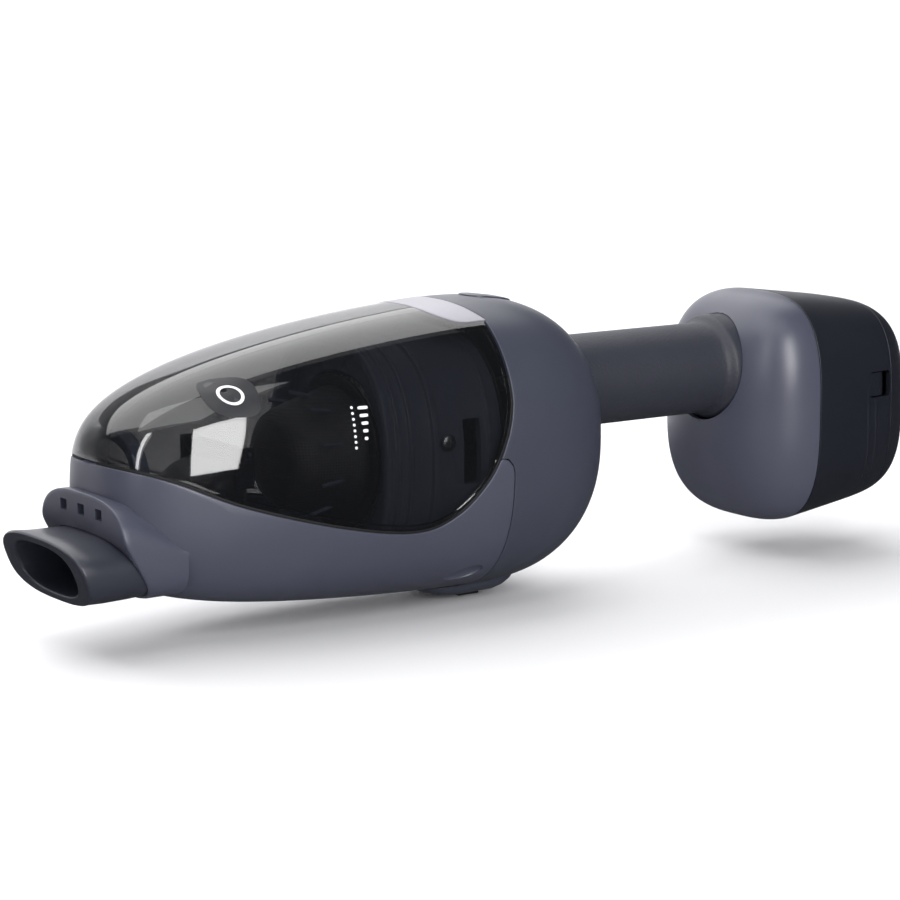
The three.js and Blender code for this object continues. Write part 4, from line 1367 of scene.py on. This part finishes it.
LATCH_X = 199.5
LATCH_Z = -8.5
RIB_XS = (191.9, 196.6)
RIB_SPAN = (-52, -15.5)
RIB_HEIGHT = 0.35
RIB_HALF_WIDTH = 1.1
SOCKET_Z = -48
SOCKET_RADIUS = 4.4


def rib_lift(x, angle):
    """Two fine ridges down each side of the battery casing, below the latch."""
    point = on_section(pod_section(x), x, angle)
    if not RIB_SPAN[0] < point.z < RIB_SPAN[1]:
        return 0.0
    slant = 0.05 * (point.z - RIB_SPAN[0])
    away = min(abs(x - (rib + 2 - slant)) for rib in RIB_XS)
    ends = min(point.z - RIB_SPAN[0], RIB_SPAN[1] - point.z, 2) / 2
    return RIB_HEIGHT * ends * math.cos(min(away / RIB_HALF_WIDTH, 1) * math.pi / 2) ** 2


class VACUUM_OT_pod_front(bpy.types.Operator):
    """Builds the front housing of the pod, open for the grip"""

    bl_idname = "vacuum.pod_front"
    bl_label = "Pod front housing"

    def execute(self, context):
        rows = 44
        span = POD_SEAM - SEAM_HALF_GAP - POD_FRONT
        stations = [POD_FRONT + span * (i / rows) ** 2.2 for i in range(rows + 1)]
        rings = [section_ring(pod_section, x) for x in stations]
        make_piece(
            "pod_front_shell", loft(rings, 144), plastic("pod_front_abs"), "motor_unit",
            ["pod_front_housing"], wall=sizes().wall / MM, edge=sizes().edge / MM,
            cuts=[rod(120, 152, FLARE_RADIUS + 0.3)],
        )
        return {"FINISHED"}


class VACUUM_OT_battery_casing(bpy.types.Operator):
    """Builds the battery casing with its ridges and latch windows"""

    bl_idname = "vacuum.battery_casing"
    bl_label = "Battery casing"

    def execute(self, context):
        start, end, step = POD_SEAM + SEAM_HALF_GAP, CAP_SEAM - SEAM_HALF_GAP, 1.8
        stations = [start + (189 - start) * i / 14 for i in range(14)]
        stations += [189 + 0.35 * i for i in range(32)]
        stations += [end - step * i for i in range(3, -1, -1)]
        rings = [section_ring(pod_section, x, lift_at=rib_lift) for x in stations]
        windows = [
            block(LATCH_X - 6.5, LATCH_X + 6.5, 30 * side, 60 * side, LATCH_Z - 5.5, LATCH_Z + 5.5, 1.4)
            for side in (-1, 1)
        ]
        make_piece(
            "battery_shell", loft(rings, 192), plastic("pod_rear_abs"), "battery_pack",
            ["battery_casing"], wall=sizes().wall / MM, edge=sizes().edge / MM,
            cuts=windows,
        )
        return {"FINISHED"}


class VACUUM_OT_rear_cover(bpy.types.Operator):
    """Builds the pod's rear cover with the opening for the charge socket"""

    bl_idname = "vacuum.rear_cover"
    bl_label = "Rear cover"

    def execute(self, context):
        rows, start = 40, CAP_SEAM + SEAM_HALF_GAP
        squeeze = 0.97  # keeps the rounded end inside the frame's flat one
        rings = []
        for i in range(rows + 1):
            x = POD_END - (POD_END - start) * (1 - i / rows) ** 2.6
            rings.append(section_ring(pod_section, x, placed_x=start + (x - start) * squeeze))
        make_piece(
            "rear_shell", loft(rings, 144), plastic("pod_rear_abs"), "battery_pack",
            ["rear_cover"], wall=sizes().wall / MM, edge=sizes().edge / MM,
            cuts=[rod(POD_END - 12, POD_END + 5, SOCKET_RADIUS, z=SOCKET_Z)],
        )
        return {"FINISHED"}


class VACUUM_OT_latches(bpy.types.Operator):
    """Builds the two latch tabs that free the battery pack"""

    bl_idname = "vacuum.latches"
    bl_label = "Battery latches"

    def execute(self, context):
        for name, side in (("left", -1), ("right", 1)):
            make_piece(
                f"latch_tab_{name}", self.tab(side), plastic("pod_rear_abs"), f"battery_latch_{name}",
                [f"battery_latch_{name}"], wall=1.6, edge=0.25,
            )
        return {"FINISHED"}

    def tab(self, side):
        """A pad in the pod's own curve with a deep finger ledge at its rear end."""
        steps = [(-6.1, -0.9), (-4, -0.9), (-1, -0.9), (2, -0.9), (2.4, -1.1), (2.8, -3.2), (6.1, -3.4)]

        def row(offset, lift):
            x = LATCH_X + offset

            def ring(share):
                z = LATCH_Z - 5.1 + 10.2 * share
                angle = angle_at(pod_section(x), z)
                return skin_point(pod_section, x, angle if side > 0 else math.pi - angle, lift)

            return ring

        return loft([row(*s) for s in steps], 12)


# ---------------------------------------------------------------- printed marks

FILL_DOTS_X = -72
FILL_WEDGE_X = -67.5
BADGE = (-116, 13.5)  # x and z of its centre
OVERPRINT = 0.08  # lifts the ring clear of the patch under it


def canopy_mark(x, z, across, up, lift=0.12):
    """Point of a mark on the canopy's near side, by its offsets from a centre at (x, z)."""
    section = body_section(x + across)
    centre = math.pi - angle_at(section, z)
    turn = 0.01
    speed = (on_section(section, x, centre + turn) - on_section(section, x, centre)).length / turn
    return skin_point(body_section, x + across, centre - up / speed, lift)


def mark_ring(x, z, half_width, half_height, power):
    """A superellipse about (x, z), laid on the canopy."""

    def ring(share):
        c, s = math.cos(math.tau * share), math.sin(math.tau * share)
        across = math.copysign(abs(c) ** (2 / power), c) * half_width
        up = math.copysign(abs(s) ** (2 / power), s) * half_height
        return canopy_mark(x, z, across, up)

    return ring


def mark_disc(x, z, radii, sides=40):
    """A flat ring or disc of a mark, from its inner superellipse to its outer one."""
    return loft([mark_ring(x, z, *radius) for radius in radii], sides)


class VACUUM_OT_marks(bpy.types.Operator):
    """Prints the fill mark, a dotted line beside a wedge, and a plain ring badge on the canopy"""

    bl_idname = "vacuum.marks"
    bl_label = "Printed marks"

    def execute(self, context):
        dots = [
            mark_disc(FILL_DOTS_X, 6.5 - 2.1 * i, [(0.05, 0.05, 2), (0.55, 0.55, 2)], 12)
            for i in range(8)
        ]
        wedge = [
            mark_disc(FILL_WEDGE_X, 6.2 - 2.8 * i, [(0.05, 0.05, 4), (2.1 - 0.35 * i, 0.6, 4)], 20)
            for i in range(5)
        ]
        make_piece(
            "fill_mark", merged(*dots, *wedge), ink_finish(), "dust_container", wall=0.05,
        )
        patch = mark_disc(*BADGE, [(0.05, 0.05, 3), (5, 5, 3), (9.8, 9.2, 3)], 64)
        dark = material_of("Pad_printed_ink_black", plastic_film, colours().black, 0.35)
        make_piece("badge_patch", patch, dark, "dust_container", wall=0.05)
        ring = mark_disc(*BADGE, [(3.5, 3.5, 2), (4.6, 4.6, 2)], 64)
        bmesh.ops.translate(ring, vec=(0, -OVERPRINT, OVERPRINT), verts=ring.verts)
        make_piece("badge_ring", ring, ink_finish(), "dust_container", wall=0.05)
        return {"FINISHED"}


# ---------------------------------------------------------------- inner pieces of the frame

INNER_FINISHES = {
    "black_abs": (
        "bulkhead", "fan_shroud", "impeller", "power_switch", "grip_core", "lead_negative",
        "terminal_block", "charge_socket", "pack_plate", "cell_tray_top", "cell_tray_bottom",
    ),
    "steel": (
        "bulkhead_screw_1", "bulkhead_screw_2", "bulkhead_screw_3", "bulkhead_screw_4", "motor_shaft",
        "motor_can", "latch_spring", "flap_pin",
    ),
    "rubber": ("motor_mount", "filter_seal", "inlet_flap"),
    "filter_paper": ("fine_filter",),
    "foam": ("exhaust_foam",),
    "circuit_board": ("control_board", "battery_board"),
    "cell_can": ("cell_1", "cell_2", "cell_3", "cell_4", "cell_5", "cell_6"),
    "red_pvc": ("lead_positive",),
    "brass": ("terminal_positive", "terminal_negative", "pack_contacts"),
}


class VACUUM_OT_inner_finishes(bpy.types.Operator):
    """Gives the inner pieces of the frame their materials"""

    bl_idname = "vacuum.inner_finishes"
    bl_label = "Inner finishes"

    def execute(self, context):
        looks = {
            "black_abs": plastic("black_abs"),
            "steel": steel_finish(),
            "rubber": rubber_finish(),
            "filter_paper": material_of(
                "Paper_pleated_filter", porous, linear("#DCDCD6"), 0.0012, 0.0002
            ),
            "foam": material_of("Foam_open_cell", porous, linear("#3A3A3E"), 0.0016, 0.0006),
            "circuit_board": material_of("Glass_epoxy_board", circuit_board, linear("#1F5A38")),
            "cell_can": material_of("PVC_shrink_sleeve", plastic_film, linear("#2F7F9E"), 0.35),
            "red_pvc": material_of("PVC_wire_red", plastic_film, linear("#A02020"), 0.45),
            "brass": material_of("Brass_stamped", bare_metal, linear("#B59B50"), 0.28),
        }
        for look, names in INNER_FINISHES.items():
            for name in names:
                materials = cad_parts[name].data.materials
                materials.clear()
                materials.append(looks[look])
        return {"FINISHED"}


# ---------------------------------------------------------------- stage

VIEW_AZIMUTH = math.radians(-35)
VIEW_ELEVATION = math.radians(9.8)
VIEW_DISTANCE = 1.18
VIEW_TARGET = TO_FRAME @ Vector((16.4, 20, -27))
LENS = 116

# The sweep in metres: its front edge, where its two parts meet, where it starts to curve up, the
# radius of the curve and its length to the top.
SWEEP_FRONT = -3.0
SWEEP_SPLIT = 0.3
SWEEP_BACK = 2.6
SWEEP_RADIUS = 0.8
SWEEP_END = SWEEP_BACK + math.pi / 2 * SWEEP_RADIUS + 2

# Soft lights as (name, place, aim, width, height, radiance).
LIGHTS = [
    ("overhead_softbox", (0.02, 0.62, 1.0), (0.06, 0.25, 0), 1.84, 1.2, 2.4),
    ("nose_softbox", (-0.36, -0.2, 1.0), (-0.3, -0.15, 0), 0.86, 0.56, 2.0),
    ("window_panel", (-0.24, -1.35, 0.6), (-0.14, 0, 0.07), 0.44, 1.1, 12),
    ("side_strip", (-1.25, -0.62, 0.75), (-0.15, 0, 0.06), 0.12, 1.2, 12),
    ("sweep_softbox", (1.4, 2.5, 1.7), (1.4, 2.7, 0), 5.4, 2.4, 3.2),
    ("front_fill", (1.0, -1.5, 0.3), (0.1, 0, 0.06), 1.2, 0.9, 1.5),
]


# The fill stands for light that the room throws back, and the sweep's own light is kept out of glossy
# rays:
# neither has an edge that the plastics mirror.
UNMIRRORED = ("front_fill", "sweep_softbox")


class VACUUM_OT_stage(bpy.types.Operator):
    """Sets the pale sweep, the soft studio lights and the camera"""

    bl_idname = "vacuum.stage"
    bl_label = "Stage"

    def execute(self, context):
        self.make_sweep()
        for light in LIGHTS:
            self.make_light(*light)
        self.make_world(context.scene)
        self.make_camera(context.scene)
        return {"FINISHED"}

    def make_sweep(self):
        """A floor that curves up into a wall well behind the object."""
        self.make_sweep_part("sweep_back", SWEEP_SPLIT, SWEEP_END)
        near = self.make_sweep_part("sweep_front", SWEEP_FRONT, SWEEP_SPLIT)
        # Black cards keep the floor in front out of the canopy's reflections; this stands in for them.
        near.visible_glossy = False

    def make_sweep_part(self, name, start, end):
        """The sweep from start to end, measured along it."""
        bm = bmesh.new()
        bmesh.ops.create_grid(bm, x_segments=40, y_segments=1, size=0.5)
        for vert in bm.verts:
            run = start + (vert.co.x + 0.5) * (end - start)
            bend = min(max((run - SWEEP_BACK) / SWEEP_RADIUS, 0), math.pi / 2)
            rise = max(run - SWEEP_BACK - SWEEP_RADIUS * math.pi / 2, 0)
            y = min(run, SWEEP_BACK) + SWEEP_RADIUS * math.sin(bend)
            z = SWEEP_RADIUS * (1 - math.cos(bend)) + rise
            vert.co = (-vert.co.y * sizes().sweep, y, z)
        mesh = bpy.data.meshes.new(name)
        bm.to_mesh(mesh)
        bm.free()
        mesh.shade_smooth()
        mesh.materials.append(material_of("Emulsion_matt_sweep", painted_floor, colours().floor))
        part = bpy.data.objects.new(name, mesh)
        bpy.context.scene.collection.objects.link(part)
        return part

    def make_light(self, name, place, aim, width, height, radiance):
        data = bpy.data.lights.new(name, "AREA")
        data.shape = "RECTANGLE"
        data.size = width
        data.size_y = height
        data.energy = radiance * math.pi * width * height
        light = bpy.data.objects.new(name, data)
        light.location = place
        light.rotation_euler = (Vector(aim) - Vector(place)).to_track_quat("-Z", "Y").to_euler()
        light.visible_glossy = name not in UNMIRRORED
        bpy.context.scene.collection.objects.link(light)

    def make_world(self, scene):
        scene.world = bpy.data.worlds.new("studio")
        scene.world.use_nodes = True
        sky = scene.world.node_tree.nodes["Background"]
        sky.inputs["Color"].default_value = with_alpha(linear("#F2F4F8"))
        sky.inputs["Strength"].default_value = 0.09
        scene.view_settings.view_transform = "Standard"

    def make_camera(self, scene):
        level = math.cos(VIEW_ELEVATION)
        away = Vector((math.sin(VIEW_AZIMUTH) * level, -math.cos(VIEW_AZIMUTH) * level,
                       math.sin(VIEW_ELEVATION)))
        camera = bpy.data.objects.new("camera", bpy.data.cameras.new("camera"))
        camera.data.lens = LENS
        camera.location = VIEW_TARGET + away * VIEW_DISTANCE
        camera.rotation_euler = (-away).to_track_quat("-Z", "Y").to_euler()
        scene.collection.objects.link(camera)
        scene.camera = camera


OPERATORS = (
    VACUUM_OT_canopy, VACUUM_OT_gasket, VACUUM_OT_casing, VACUUM_OT_nozzle, VACUUM_OT_nose_arch,
    VACUUM_OT_inlet_duct, VACUUM_OT_filter_drum, VACUUM_OT_prefilter_cone, VACUUM_OT_motor_housing,
    VACUUM_OT_release_button, VACUUM_OT_power_button, VACUUM_OT_belly_foot, VACUUM_OT_grip,
    VACUUM_OT_pod_front, VACUUM_OT_battery_casing, VACUUM_OT_rear_cover, VACUUM_OT_latches,
    VACUUM_OT_marks, VACUUM_OT_inner_finishes, VACUUM_OT_stage,
)


class VACUUM_PT_sidebar(bpy.types.Panel):
    """Lists the vacuum's colours, sizes and building steps"""

    bl_idname = "VACUUM_PT_sidebar"
    bl_label = "Handheld vacuum"
    bl_space_type = "VIEW_3D"
    bl_region_type = "UI"
    bl_category = "Vacuum"

    def draw(self, context):
        for group in (context.scene.vacuum_colours, context.scene.vacuum_sizes):
            box = self.layout.box()
            for name in group.__annotations__:
                box.prop(group, name)
        for operator in OPERATORS:
            self.layout.operator(operator.bl_idname)


CLASSES = (VacuumColours, VacuumSizes, *OPERATORS, VACUUM_PT_sidebar)


def register():
    for cls in CLASSES:
        bpy.utils.register_class(cls)
    bpy.types.Scene.vacuum_colours = PointerProperty(type=VacuumColours)
    bpy.types.Scene.vacuum_sizes = PointerProperty(type=VacuumSizes)


def unregister():
    del bpy.types.Scene.vacuum_sizes
    del bpy.types.Scene.vacuum_colours
    for cls in reversed(CLASSES):
        bpy.utils.unregister_class(cls)


def main():
    register()
    for operator in OPERATORS:
        group, name = operator.bl_idname.split(".")
        getattr(getattr(bpy.ops, group), name)()


if __name__ == "__main__":
    main()
